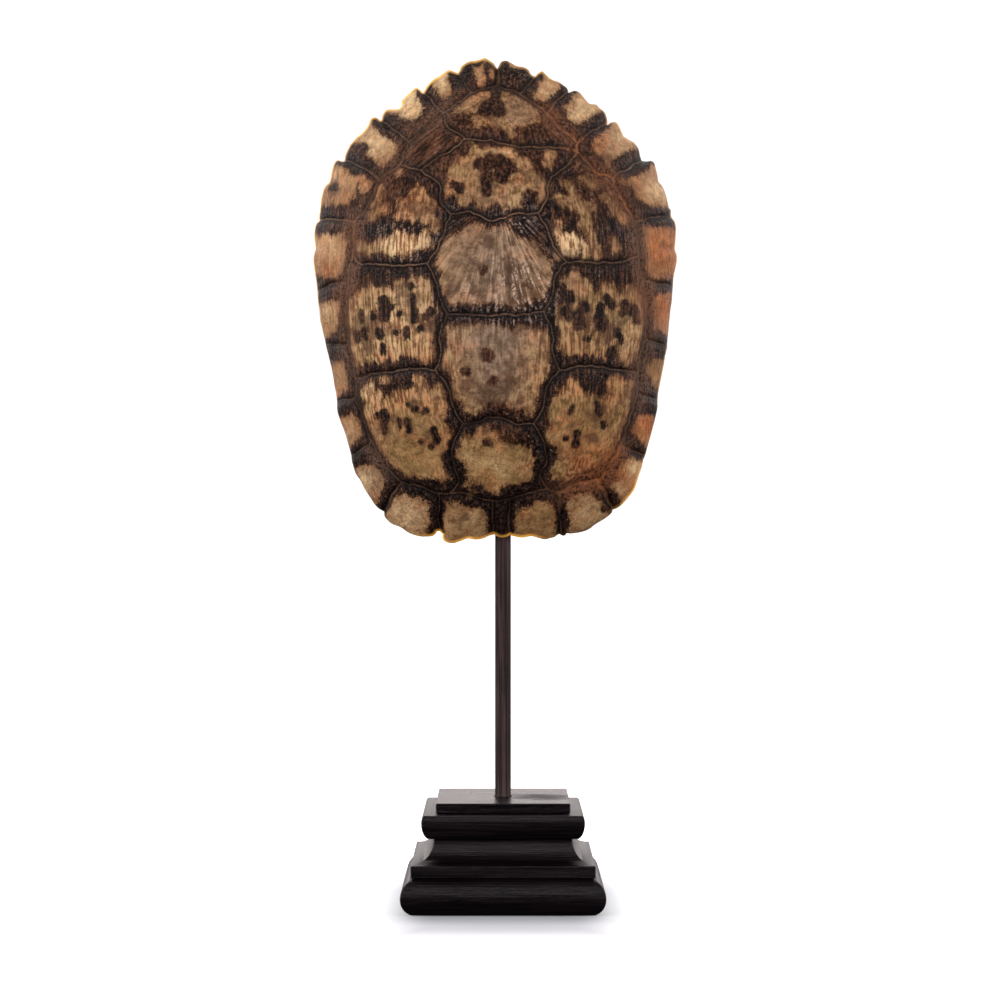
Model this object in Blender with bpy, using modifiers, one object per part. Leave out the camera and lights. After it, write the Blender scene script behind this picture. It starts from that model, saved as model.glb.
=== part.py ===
"""Turtle shell on a display stand.

The upper shell of a pond turtle, cleaned and hollow, hangs tail end up on a dark metal rod. The rod rises
from a square base of black painted mouldings and ends in a small wooden block glued inside the shell.

The origin is the middle of the base's underside. +Z is up, and the shell's domed face looks towards -Y.
The shell is drawn as it is seen from the front: u runs to the right and v up, in millimetres from the
shell's middle. Its depth at any (u, v) follows from the dome's formulas below.
"""
import math

import bmesh
import bpy
import numpy as np
from mathutils import Matrix, Vector
from mathutils.geometry import delaunay_2d_cdt

MM = 0.001
GAP = 0.3                       # left between pieces that touch

# ---- driving sizes, in millimetres ----------------------------------------------------------------------
# base, from the table up: each height is where the piece's top comes
FOOT_TOP = 18.0
COVE_TOP = 36.0
UPPER_TOP = 48.0
PLATE_TOP = 53.0
FOOT_BULGE = 100.0              # square widths
FOOT_FLAT = 84.0
FOOT_SOLE = 89.0
FOOT_BULGE_HEIGHT = 8.5
FASCIA_WIDTH = 90.0
FASCIA_HEIGHT = 6.0
COVE_NECK = 68.0
COVE_RADIUS = 11.0
UPPER_BULGE = 80.0
UPPER_FLAT = 77.0
UPPER_FOOT = 72.0
UPPER_BULGE_DROP = 3.5
PLATE_WIDTH = 66.0
ARRIS = 0.7                     # softened edges of the painted wood
ARC_STEPS = 6                   # facets in each quarter of a moulding

# rod
ROD_DIAMETER = 8.0
ROD_SIDES = 32
ROD_FOOT = 38.5                 # lower end, in the blind hole of the upper moulding
ROD_HEAD = 240.0                # upper end, in the blind hole of the block

# block inside the shell, drilled from below for the rod
BLOCK_WIDTH = 30.0
BLOCK_BOTTOM = 214.0
BLOCK_TOP = 244.0
BLOCK_BACK = 10.0
BLOCK_CUTS = 3
BLOCK_CLEARANCE = 0.8

# shell
SHELL_X = -4.0                  # the rod stands behind the neck notch, which is off the shell's middle
SHELL_Z = 302.0
DOME_HEIGHT = 64.0              # from the side edges to the crown
EDGE_SIDE = 8.0                 # depth of the edge at the sides
EDGE_END = -7.0                 # depth of the edge at neck and tail, just in front of the rod
WALL = 4.5                      # thickness at the crown
EDGE_THICK = 2.2
LIP = 0.93                      # where the underside band ends and the hollow begins, as a share of radius
GROOVE_DEPTH = 0.9
GROOVE_WIDTH = 1.2
SHOULDER = 2.2                  # where a groove's sides reach the surface

# smooth radius of the shell's edge by angle from the right-hand side, neck end at 270
EDGE_RADIUS = {
    0: 88.5, 20: 96, 40: 104.5, 60: 110.5, 75: 114.5, 90: 118, 105: 116, 120: 111.5, 140: 105, 160: 96.5,
    180: 89.3, 195: 89.5, 210: 94, 225: 104.5, 240: 118.5, 253: 122.5, 270: 120.5, 287: 122.5, 300: 119.5,
    315: 108, 330: 95, 345: 89.3,
}

# ---- the marginal scutes' free edges, (u, v) ------------------------------------------------------------
# Each row is one scute's edge and ends at its seam with the next. They run from the neck up the left side to
# the tail and down the right side, and each is a smooth curve, with a corner only at its seams.
NECK_CORNER = (7.0, -117.4)
SCUTE_EDGES = [
    [(3.7, -118.8), (-0.5, -117.3)],
    [(-5.3, -119.1), (-12.0, -119.4), (-20.3, -121.6), (-25.3, -120.7), (-26.6, -117.5), (-27.4, -115.7)],
    [(-29.6, -116.8), (-34, -118.4), (-40.5, -117.6), (-47.7, -113.6), (-54.1, -110), (-55.7, -105.8)],
    [(-60.3, -102.4), (-66.1, -93.5), (-70, -87), (-72.5, -77.5)],
    [(-76, -65.6), (-79.4, -56), (-80.1, -50)],
    [(-81.2, -43), (-83.5, -31), (-85.8, -22)],
    [(-87.9, -12.5), (-89.3, -3), (-90.4, 6)],
    [(-91.6, 16), (-92.2, 22.4), (-91.1, 27.4), (-91.7, 34), (-90.6, 40.2), (-89.3, 41.7)],
    [(-88.4, 50), (-86.6, 57.7), (-83.9, 60.6), (-82.4, 67), (-80.1, 71.4), (-77.6, 71.4), (-76.2, 71.2)],
    [(-74.3, 76.8), (-69.8, 82.6), (-64.7, 87.2), (-62.5, 91.5), (-59.4, 92.2), (-57.3, 90.5)],
    [(-55.2, 95.4), (-49.8, 96), (-46.9, 98.6), (-43.4, 103.8), (-39.4, 106.6), (-36.1, 104.3)],
    [(-33.7, 108.2), (-28.1, 112.3), (-22.8, 115.5), (-18.8, 114.2)],
    [(-16.6, 117.6), (-10.5, 120.1), (-5, 121.5), (-1.6, 119.6), (1.1, 116.3)],
    [(4.2, 120), (8.4, 118.9), (14.2, 117), (18.1, 113.6), (20, 112.4)],
    [(23.5, 115), (28.9, 110.6), (34.5, 107.8), (37, 104.3)],
    [(40.6, 105.2), (46, 99.6), (51.2, 98.2), (55.7, 93.3), (56.4, 88.5)],
    [(60.2, 90), (64.4, 83.4), (70.5, 79.6), (73.1, 74.6), (74.2, 71.2)],
    [(79.4, 71), (82.1, 64.4), (84.6, 58.6), (87.7, 49.8), (89.3, 45.8), (89.6, 43.4)],
    [(91.9, 36.9), (91.3, 28), (92.3, 21.7), (90.9, 13), (90.3, 8)],
    [(89.2, -2.9), (88, -14.2), (87.4, -22.5)],
    [(85.6, -31.4), (83.3, -42.8), (82.4, -49.7)],
    [(80.7, -60.2), (78.4, -68.3), (75.8, -77.5)],
    [(72.9, -86.4), (68.6, -96.8), (63.2, -102.8), (59.2, -104.8)],
    [(56.2, -108.6), (48.3, -113.9), (40.5, -116.6), (35.5, -117.4), (33, -117.2)],
    [(27.9, -119.1), (20.2, -118.6), (13, -118.9), NECK_CORNER],
]

# ---- seams between the scutes, (u, v) -------------------------------------------------------------------
# The ring seam parts the marginal scutes from the big inner ones. It is closed, and it passes the seams that
# meet it.
RING_SEAM = [
    (-1.6, -101.3), (-8, -99.5), (-15, -97.3), (-23, -97.4), (-28, -97.6), (-36.6, -93.9), (-47, -91.6),
    (-53.7, -85.2), (-59.9, -75.7), (-62, -70.8), (-66.6, -59.5), (-69.9, -49.6), (-70.6, -40.2),
    (-72, -31), (-73.3, -23.3), (-74.9, -8), (-73.7, 7.3), (-72.9, 14.5), (-70.7, 20.5), (-70.7, 30),
    (-69.8, 37.6), (-65.3, 42), (-60.4, 51), (-57.4, 57.8), (-51.6, 61.7), (-46.9, 66), (-44.8, 72.1),
    (-42.6, 76.7), (-34.5, 83.4), (-25.2, 91.5), (-18.5, 96.8), (-11.7, 102.6), (-5.4, 104.7), (0.9, 105.4),
    (6.8, 104.3), (12.2, 102.2), (19, 97.6), (26.5, 91.3), (33.8, 82.2), (40.4, 76.3), (41.2, 72),
    (46.6, 65.6), (51.8, 60.7), (58.5, 59.5), (61, 52.6), (65.9, 43.8), (70, 37.6), (71.2, 28),
    (71.3, 19.8), (74.2, 8.3), (76, -5), (75.6, -20.5), (73, -29.5), (72, -37.4), (71.5, -47.2),
    (68.9, -55.8), (65.8, -66.5), (63, -73.2), (57.6, -82.8), (51.5, -90.5), (41.5, -92.3), (32, -96.6),
    (26.9, -95.7), (16.5, -97.2), (7.2, -100.2),
]

# The five vertebral scutes run up the middle, between the costal scutes of either side.
INNER_SEAMS = [
    # across the middle, from the neck up
    [(-15.8, -63.7), (-8.5, -62.7), (-3, -60.5), (3.4, -60.9), (12.3, -63.8), (19.3, -63.2)],
    [(-23.2, -10.5), (-12.6, -10.8), (0, -11.2), (15.1, -10.5), (24.1, -9.8)],
    [(-21.5, 38.6), (-12, 39.3), (-1.3, 34.7), (8.7, 38.1), (21.3, 38.6)],
    [(-15, 77.3), (-1.6, 76), (14, 72.9), (29.8, 73.3), (41.2, 72)],
    # left sides of the middle row, from the neck up
    [(-15.8, -63.7), (-20.5, -74.3), (-20, -84.4), (-17.5, -91.2), (-23, -97.4)],
    [(-15.8, -63.7), (-20.7, -54.5), (-22.4, -46.5), (-29.3, -37.6)],
    [(-29.3, -37.6), (-26.6, -30.5), (-27, -20), (-23.2, -10.5)],
    [(-23.2, -10.5), (-26.1, -4.5), (-28.5, 5.6), (-33.5, 14)],
    [(-33.5, 14), (-27.9, 21.9), (-24.3, 31), (-21.5, 38.6)],
    [(-21.5, 38.6), (-25.5, 43.7), (-26.7, 52.3), (-36.6, 61.6)],
    [(-36.6, 61.6), (-29.4, 66.9), (-21.1, 71.5), (-15, 77.3)],
    [(-15, 77.3), (-24, 86.2), (-25.2, 91.5)],
    # between the left costal scutes
    [(-29.3, -37.6), (-39, -36.8), (-52, -37.6), (-70.6, -40.2)],
    [(-33.5, 14), (-48.5, 13.8), (-60.9, 15), (-67.6, 16.7), (-70.7, 20.5)],
    [(-36.6, 61.6), (-42, 62.7), (-46.9, 66)],
    # right sides of the middle row, from the neck up
    [(19.3, -63.2), (24.2, -73.6), (25.3, -81), (22.3, -88.9), (26.9, -95.7)],
    [(19.3, -63.2), (24.1, -54.4), (25.6, -44.8), (31.8, -37.5)],
    [(31.8, -37.5), (28.3, -29.5), (28.3, -18.5), (24.1, -9.8)],
    [(24.1, -9.8), (27.9, -1.5), (29.7, 8.5), (34.8, 15)],
    [(34.8, 15), (28.7, 22.5), (24.6, 32.8), (21.3, 38.6)],
    [(21.3, 38.6), (25, 44.6), (26.8, 55.8), (35, 63.5), (41.2, 72)],
    # between the right costal scutes, of which there are only three
    [(31.8, -37.5), (43.7, -35.1), (61.2, -36.3), (72, -37.4)],
    [(34.8, 15), (51, 15.5), (62.7, 16.8), (71.3, 19.8)],
]

# Seams of the marginal scutes, from the ring seam to the free edge, up the left side and down the right.
MARGINAL_SEAMS = [
    [(-1.6, -101.3), (-1.2, -109), (-0.5, -117.3)],
    [(-28, -97.6), (-27.7, -105), (-27.4, -115.7)],
    [(-47, -91.6), (-52, -98.6), (-55.7, -105.8)],
    [(-62, -70.8), (-65.6, -74.1), (-72.5, -77.5)],
    [(-69.9, -49.6), (-80.1, -50)],
    [(-73.3, -23.3), (-85.8, -22)],
    [(-73.7, 7.3), (-82, 7.6), (-90.4, 6)],
    [(-69.8, 37.6), (-80, 39.9), (-89.3, 41.7)],
    [(-57.4, 57.8), (-66, 64.8), (-76.2, 71.2)],
    [(-42.6, 76.7), (-50.5, 84), (-57.3, 90.5)],
    [(-25.2, 91.5), (-30.5, 97.5), (-36.1, 104.3)],
    [(-11.7, 102.6), (-15.5, 107), (-18.8, 114.2)],
    [(0.9, 105.4), (1.1, 116.3)],
    [(12.2, 102.2), (17, 107.3), (20, 112.4)],
    [(26.5, 91.3), (31, 99), (37, 104.3)],
    [(40.4, 76.3), (48, 83), (56.4, 88.5)],
    [(58.5, 59.5), (66, 64.6), (74.2, 71.2)],
    [(70, 37.6), (79.9, 40.9), (89.6, 43.4)],
    [(74.2, 8.3), (90.3, 8)],
    [(75.6, -20.5), (87.4, -22.5)],
    [(71.5, -47.2), (82.4, -49.7)],
    [(63, -73.2), (69, -75.5), (75.8, -77.5)],
    [(51.5, -90.5), (55.8, -97.4), (59.2, -104.8)],
    [(32, -96.6), (33, -117.2)],
    [(7.2, -100.2), (6.8, -108.6), NECK_CORNER],
]

# ---- inside of the shell ----------------------------------------------------------------------------
SPINE_BOTTOM = -50.0            # the spine is cut away at the neck end, where the block sits
SPINE_TOP = 92.0
SPINE_HEIGHT = 3.2
SPINE_WIDTH = 3.5
RIB_PITCH = 20.0
RIB_COUNT = 8
FIRST_RIB = -62.0
RIB_START = 7.0                 # from the spine
FIRST_RIB_START = 30.0          # clear of the block
RIB_REACH = 0.80                # share of the radius at which a rib runs out
RIB_FAN = 0.16                  # how far the ribs fan out towards neck and tail
RIB_HEIGHT = 1.5
RIB_WIDTH = 3.4

# mesh spacing, in millimetres
SEAM_STEP = 3.8
FIELD_STEP = 5.2
INSIDE_STEP = 7.0

HORN = (0.33, 0.23, 0.14)
PAINTED_BLACK = (0.018, 0.017, 0.017)
DARK_METAL = (0.055, 0.042, 0.036)


# ---- curves and distances in the shell's front view ------------------------------------------------------
def smooth_curve(points, step=SEAM_STEP):
    """Points of a smooth curve that passes every given point, about a step apart."""
    knots = np.array(points, float)
    if len(knots) == 2:
        count = max(1, round(math.dist(*knots) / step))
        return [tuple(knots[0] + (knots[1] - knots[0]) * i / count) for i in range(count + 1)]
    chords = np.linalg.norm(np.diff(knots, axis=0), axis=1)
    along = np.concatenate([[0], np.cumsum(chords)])
    slopes = np.gradient(knots, along, axis=0)
    found = []
    for i, chord in enumerate(chords):
        count = max(1, round(chord / step))
        for t in np.arange(count) / count:
            found.append(tuple(
                (2 * t**3 - 3 * t**2 + 1) * knots[i] + (t**3 - 2 * t**2 + t) * chord * slopes[i]
                + (3 * t**2 - 2 * t**3) * knots[i + 1] + (t**3 - t**2) * chord * slopes[i + 1]))
    return found + [tuple(knots[-1])]


def shell_outline():
    """The closed, notched edge of the shell, one smooth run for each marginal scute."""
    outline = []
    corner = NECK_CORNER
    for edge in SCUTE_EDGES:
        run = smooth_curve([corner] + edge)
        outline += run[:-1]
        corner = edge[-1]
    return outline


def distance_to_lines(points, lines):
    """Distance from each point to the nearest of the polylines."""
    points = np.asarray(points, float)
    nearest = np.full(len(points), np.inf)
    for line in lines:
        line = np.asarray(line, float)
        for start, end in zip(line[:-1], line[1:]):
            run = end - start
            t = np.clip(((points - start) @ run) / max(run @ run, 1e-9), 0, 1)
            gap = points - start - t[:, None] * run
            nearest = np.minimum(nearest, np.hypot(gap[:, 0], gap[:, 1]))
    return nearest


def inside(points, outline):
    """Which points lie within a closed outline."""
    points = np.asarray(points, float)
    within = np.zeros(len(points), bool)
    corners = np.asarray(outline, float)
    for (ua, va), (ub, vb) in zip(corners, np.roll(corners, -1, axis=0)):
        if va == vb:
            continue
        spans = (points[:, 1] > min(va, vb)) & (points[:, 1] <= max(va, vb))
        crossing = ua + (points[:, 1] - va) * (ub - ua) / (vb - va)
        within ^= spans & (crossing > points[:, 0])
    return within


# ---- the shell's dome ------------------------------------------------------------------------------------
def periodic_curve(table, angle):
    """A smooth value by angle, through a table of angles in degrees."""
    angles = np.array(list(table), float)
    values = np.array(list(table.values()), float)
    xs = np.concatenate([angles - 360, angles, angles + 360])
    ys = np.tile(values, 3)
    slopes = np.zeros_like(ys)
    slopes[1:-1] = (ys[2:] - ys[:-2]) / (xs[2:] - xs[:-2])
    i = np.clip(np.searchsorted(xs, angle) - 1, 0, len(xs) - 2)
    span = xs[i + 1] - xs[i]
    t = (angle - xs[i]) / span
    return ((2 * t**3 - 3 * t**2 + 1) * ys[i] + (t**3 - 2 * t**2 + t) * span * slopes[i]
            + (3 * t**2 - 2 * t**3) * ys[i + 1] + (t**3 - t**2) * span * slopes[i + 1])


def polar_share(points):
    """Share of the way from the middle to the notched edge, and how far towards neck or tail it lies."""
    points = np.asarray(points, float)
    reach = np.hypot(points[:, 0], points[:, 1])
    angle = np.degrees(np.arctan2(points[:, 1], points[:, 0])) % 360
    smooth = periodic_curve(EDGE_RADIUS, angle)
    notched = np.interp(angle, EDGE_ANGLES, EDGE_REACHES, period=360)
    blend = np.clip((reach / smooth - 0.8) / 0.2, 0, 1)
    blend = blend * blend * (3 - 2 * blend)
    share = reach / (smooth + (notched - smooth) * blend)
    endward = (points[:, 1] / np.maximum(reach, 1e-6)) ** 2
    return share, endward * endward * (3 - 2 * endward)


def dome_depth(share, endward, top, edge_thick=0.0):
    """Depth of a dome that rises from the edge to its top, steeper at the sides than at the ends."""
    squareness = 2.3 + 0.1 * endward
    steepness = 0.60 + 0.22 * endward
    blunt = 0.985

    def profile(q):
        return np.maximum(1 - (blunt * np.minimum(q, 1)) ** squareness, 0) ** steepness

    rise = (profile(share) - profile(1.0)) / (1 - profile(1.0))
    edge = EDGE_SIDE + (EDGE_END - EDGE_SIDE) * endward * np.minimum(share, 1) ** 2 + edge_thick
    return edge + (top - edge) * rise


def outer_depth(points):
    share, endward = polar_share(points)
    groove = GROOVE_DEPTH * np.exp(-(distance_to_lines(points, SEAMS) / GROOVE_WIDTH) ** 2)
    fade = np.clip((1 - share) / 0.06, 0.35, 1)
    return dome_depth(share, endward, EDGE_SIDE - DOME_HEIGHT) + groove * fade


def inner_depth(points, relief=True):
    share, endward = polar_share(points)
    depth = dome_depth(share / LIP, endward, EDGE_SIDE - DOME_HEIGHT + WALL, EDGE_THICK)
    if not relief:
        return depth
    spine = SPINE_HEIGHT * np.exp(-(distance_to_lines(points, [SPINE]) / SPINE_WIDTH) ** 2)
    ribs = RIB_HEIGHT * np.exp(-(distance_to_lines(points, RIBS) / RIB_WIDTH) ** 2)
    return depth + np.maximum(spine, ribs)


def rib_lines():
    """Eight pairs of ribs, fanned a little towards neck and tail."""
    lines = []
    for number in range(RIB_COUNT):
        root = FIRST_RIB + number * RIB_PITCH
        start = FIRST_RIB_START if number == 0 else RIB_START
        for side in (-1, 1):
            line = []
            for u in np.arange(start, 90, INSIDE_STEP):
                point = (side * u, root + RIB_FAN * root * (u / 60) ** 2)
                if polar_share([point])[0][0] > RIB_REACH:
                    break
                line.append(point)
            if len(line) > 1:
                lines.append(line)
    return lines


OUTLINE = shell_outline()
_angles = np.degrees(np.arctan2([v for u, v in OUTLINE], [u for u, v in OUTLINE])) % 360
_order = np.argsort(_angles)
EDGE_ANGLES = _angles[_order]
EDGE_REACHES = np.hypot([u for u, v in OUTLINE], [v for u, v in OUTLINE])[_order]
SEAMS = [smooth_curve(seam) for seam in [RING_SEAM + RING_SEAM[:1]] + INNER_SEAMS + MARGINAL_SEAMS]
SPINE = smooth_curve([(0, SPINE_BOTTOM), (0, SPINE_TOP)], INSIDE_STEP)
RIBS = rib_lines()


# ---- meshes ------------------------------------------------------------------------------------------
def shoulder_points(lines, offset):
    """Points on either side of each line, at a fixed offset from it."""
    found = []
    for line in lines:
        line = np.asarray(line, float)
        run = np.gradient(line, axis=0)
        run /= np.linalg.norm(run, axis=1)[:, None]
        across = np.stack([-run[:, 1], run[:, 0]], axis=1)
        for side in (-offset, offset):
            found += [tuple(p) for p in line + side * across]
    return found


def field_points(step):
    """Points of a triangular grid over the whole shell."""
    rows = np.arange(-125, 126, step * math.sqrt(0.75))
    found = []
    for number, v in enumerate(rows):
        shift = step / 2 if number % 2 else 0
        found += [(u + shift, v) for u in np.arange(-96, 97, step)]
    return found


def well_spaced(points, lines, from_lines, from_edge, apart, kept):
    """Those points that lie inside the shell, clear of the lines, of its edge and of each other."""
    points = np.asarray(points, float)
    closed = OUTLINE + OUTLINE[:1]
    points = points[inside(points, OUTLINE)]
    points = points[distance_to_lines(points, [closed]) > from_edge]
    points = points[distance_to_lines(points, lines) > from_lines]
    kept = [np.asarray(p, float) for p in kept]
    start = len(kept)
    for point in points:
        if not kept or np.min(np.linalg.norm(np.asarray(kept) - point, axis=1)) > apart:
            kept.append(point)
    return [tuple(p) for p in kept[start:]]


def triangulate(lines, loose):
    """Triangles over the shell's outline that follow every line and pass every loose point."""
    coords = []
    edges = []
    for line in [OUTLINE + OUTLINE[:1]] + lines:
        first = len(coords)
        coords += line
        edges += [(first + i, first + i + 1) for i in range(len(line) - 1)]
    coords += loose
    verts, _, faces, *_ = delaunay_2d_cdt([Vector(p) for p in coords], edges, [], 0, 0.01, False)
    verts = np.array([tuple(v) for v in verts])
    within = inside([verts[list(f)].mean(axis=0) for f in faces], OUTLINE)
    return verts, [tuple(f) for f, kept in zip(faces, within) if kept]


def outer_sheet():
    """The scutes' surface in plan: the seams are followed, and each has a row of points on either side."""
    shoulders = well_spaced(shoulder_points(SEAMS, SHOULDER), SEAMS, 0.75 * SHOULDER, 1.6, 1.9, [])
    rim = well_spaced(shoulder_points([OUTLINE + OUTLINE[:1]], 2.6), SEAMS, 1.8, 1.9, 2.6, shoulders)
    field = well_spaced(field_points(FIELD_STEP), SEAMS, 4.6, 3.8, 3.4, shoulders + rim)
    return triangulate(SEAMS, shoulders + rim + field)


def lip_lines():
    """Rings round the mouth of the hollow, from the flat underside band up its steep wall."""
    outline = np.array(OUTLINE[::2])
    share, _ = polar_share(outline)
    rings = []
    for level in (LIP + 0.012, LIP - 0.006, LIP - 0.035, LIP - 0.085):
        ring = outline * (level / share)[:, None]
        rings.append([tuple(p) for p in ring] + [tuple(ring[0])])
    return rings


def inner_sheet():
    """The bone side of the shell in plan: the lip, the spine and the ribs are followed."""
    lips = lip_lines()
    raised = [SPINE] + RIBS
    shoulders = well_spaced(shoulder_points(raised, 4.6), raised + lips, 3.4, 8, 4.2, [])
    field = well_spaced(field_points(INSIDE_STEP), raised + lips, 4.6, 8, 5.0, shoulders)
    return triangulate(lips + raised, shoulders + field)


def carapace_mesh():
    """The closed shell: scutes in front, bone behind, and a narrow rim that joins them at the notched edge.

    It is a loft between two unlike surfaces with a seam pattern of its own, so its faces are built here.
    """
    outer, outer_faces = outer_sheet()
    inner, inner_faces = inner_sheet()
    front = np.column_stack([outer[:, 0] + SHELL_X, outer_depth(outer), outer[:, 1] + SHELL_Z])
    back = np.column_stack([inner[:, 0] + SHELL_X, inner_depth(inner), inner[:, 1] + SHELL_Z])
    first_back = len(front)
    faces = list(outer_faces) + [tuple(first_back + i for i in reversed(f)) for f in inner_faces]

    behind = {(round(u, 2), round(v, 2)): first_back + i for i, (u, v) in enumerate(inner)}
    used = {(a, b) for f in outer_faces for a, b in zip(f, f[1:] + f[:1])}
    for a, b in sorted(used):
        if (b, a) not in used:
            far_a = behind[round(outer[a][0], 2), round(outer[a][1], 2)]
            far_b = behind[round(outer[b][0], 2), round(outer[b][1], 2)]
            faces.append((b, a, far_a, far_b))

    mesh = bpy.data.meshes.new("carapace")
    mesh.from_pydata((np.vstack([front, back]) * MM).tolist(), [], faces)
    mesh.validate()
    return mesh


# ---- objects, materials and collections --------------------------------------------------------------
def clear_scene():
    for obj in list(bpy.data.objects):
        bpy.data.objects.remove(obj, do_unlink=True)


def new_collection(name):
    collection = bpy.data.collections.new(name)
    bpy.context.scene.collection.children.link(collection)
    return collection


def new_material(name, color, roughness, metallic=0.0):
    material = bpy.data.materials.new(name)
    material.use_nodes = True
    shader = material.node_tree.nodes["Principled BSDF"]
    shader.inputs["Base Color"].default_value = (*color, 1)
    shader.inputs["Roughness"].default_value = roughness
    shader.inputs["Metallic"].default_value = metallic
    return material


def new_object(name, mesh, collection, material=None):
    obj = bpy.data.objects.new(name, mesh)
    collection.objects.link(obj)
    if material:
        mesh.materials.append(material)
    return obj


def shade_round(mesh, sharp_above=35):
    mesh.shade_smooth()
    mesh.set_sharp_from_angle(angle=math.radians(sharp_above))


def arc(centre, radii, start, end, steps=ARC_STEPS):
    """Points of an elliptical arc, by angle in degrees, in the (half width, height) plane."""
    found = []
    for i in range(steps + 1):
        angle = math.radians(start + (end - start) * i / steps)
        found.append((centre[0] + radii[0] * math.cos(angle), centre[1] + radii[1] * math.sin(angle)))
    return found


def square_moulding(name, profile, collection, material):
    """A square piece with mitred corners: its half profile, top to bottom, turned in four steps."""
    corner = math.sqrt(2)
    half = [(0, profile[0][1])] + profile + [(0, profile[-1][1])]
    mesh = bpy.data.meshes.new(name)
    verts = [(x * corner * MM, 0, z * MM) for x, z in half]
    mesh.from_pydata(verts, [(i, i + 1) for i in range(len(verts) - 1)], [])
    mesh.transform(Matrix.Rotation(math.radians(45), 4, "Z"))
    obj = new_object(name, mesh, collection, material)
    screw = obj.modifiers.new("square", "SCREW")
    screw.steps = screw.render_steps = 4
    screw.use_merge_vertices = True
    screw.merge_threshold = 0.0001
    screw.use_smooth_shade = False
    bevel = obj.modifiers.new("arris", "BEVEL")
    bevel.width = ARRIS * MM
    bevel.segments = 2
    bevel.limit_method = "ANGLE"
    bevel.angle_limit = math.radians(50)
    return obj


def cylinder_mesh(name, diameter, bottom, top):
    build = bmesh.new()
    bmesh.ops.create_cone(
        build, cap_ends=True, segments=ROD_SIDES, radius1=diameter / 2 * MM, radius2=diameter / 2 * MM,
        depth=(top - bottom) * MM, matrix=Matrix.Translation((0, 0, (top + bottom) / 2 * MM)))
    mesh = bpy.data.meshes.new(name)
    build.to_mesh(mesh)
    build.free()
    return mesh


def drill(obj, name, bottom, top, cutters):
    """A round hole for the rod, with the gap that touching pieces keep."""
    cutter = new_object(name, cylinder_mesh(name, ROD_DIAMETER + 2 * GAP, bottom, top), cutters)
    cutter.hide_render = True
    cutter.display_type = "WIRE"
    cut = obj.modifiers.new("rod_hole", "BOOLEAN")
    cut.operation = "DIFFERENCE"
    cut.solver = "EXACT"
    cut.object = cutter


def make_base(parts, cutters, paint):
    """Four square pieces of painted wood, glued face to face."""
    foot = arc((FOOT_FLAT / 2, FOOT_BULGE_HEIGHT), ((FOOT_BULGE - FOOT_FLAT) / 2,
               FOOT_TOP - GAP - FOOT_BULGE_HEIGHT), 90, 0)
    sole_turn = math.degrees(math.acos((FOOT_SOLE - FOOT_FLAT) / (FOOT_BULGE - FOOT_FLAT)))
    sole_radius = FOOT_BULGE_HEIGHT / math.sin(math.radians(sole_turn))
    foot += arc((FOOT_FLAT / 2, FOOT_BULGE_HEIGHT), ((FOOT_BULGE - FOOT_FLAT) / 2, sole_radius),
                0, -sole_turn, 4)[1:]
    square_moulding("base_foot_moulding", foot, parts, paint)

    fascia_top = FOOT_TOP + FASCIA_HEIGHT
    cove = [(COVE_NECK / 2, COVE_TOP - GAP)]
    cove += arc((FASCIA_WIDTH / 2, fascia_top + COVE_RADIUS), (COVE_RADIUS, COVE_RADIUS), 180, 270)
    cove += [(FASCIA_WIDTH / 2, FOOT_TOP)]
    square_moulding("base_cove_moulding", cove, parts, paint)

    bulge_height = UPPER_TOP - GAP - UPPER_BULGE_DROP
    top_round = (UPPER_BULGE - UPPER_FLAT) / 2
    under_round = (UPPER_BULGE - UPPER_FOOT) / 2
    upper = arc((UPPER_FLAT / 2, bulge_height), (top_round, UPPER_BULGE_DROP), 90, 0, 4)
    upper += arc((UPPER_FOOT / 2, bulge_height), (under_round, bulge_height - COVE_TOP), 0, -90)[1:]
    upper_moulding = square_moulding("base_upper_moulding", upper, parts, paint)
    drill(upper_moulding, "upper_moulding_hole", ROD_FOOT - GAP, UPPER_TOP + 5, cutters)

    plate = [(PLATE_WIDTH / 2, PLATE_TOP), (PLATE_WIDTH / 2, UPPER_TOP)]
    top_plate = square_moulding("base_top_plate", plate, parts, paint)
    drill(top_plate, "top_plate_hole", UPPER_TOP - 5, PLATE_TOP + 5, cutters)


def make_rod(parts, metal):
    mesh = cylinder_mesh("rod", ROD_DIAMETER, ROD_FOOT, ROD_HEAD)
    shade_round(mesh)
    new_object("rod", mesh, parts, metal)


def make_block(parts, cutters, paint):
    """A small block whose front is shaped to the hollow of the shell, drilled from below for the rod."""
    build = bmesh.new()
    bmesh.ops.create_cube(build, size=1)
    bmesh.ops.subdivide_edges(build, edges=build.edges[:], cuts=BLOCK_CUTS, use_grid_fill=True)
    for vert in build.verts:
        x = vert.co.x * BLOCK_WIDTH
        z = (BLOCK_BOTTOM + BLOCK_TOP) / 2 + vert.co.z * (BLOCK_TOP - BLOCK_BOTTOM)
        roof = inner_depth([(x - SHELL_X, z - SHELL_Z)], relief=False)[0] + BLOCK_CLEARANCE
        y = roof + (BLOCK_BACK - roof) * (vert.co.y + 0.5)
        vert.co = Vector((x, y, z)) * MM
    mesh = bpy.data.meshes.new("mounting_block")
    build.to_mesh(mesh)
    build.free()
    block = new_object("mounting_block", mesh, parts, paint)
    drill(block, "block_hole", BLOCK_BOTTOM - 5, ROD_HEAD + GAP, cutters)


def make_shell(parts, horn):
    mesh = carapace_mesh()
    shade_round(mesh, 50)
    new_object("carapace", mesh, parts, horn)


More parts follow.
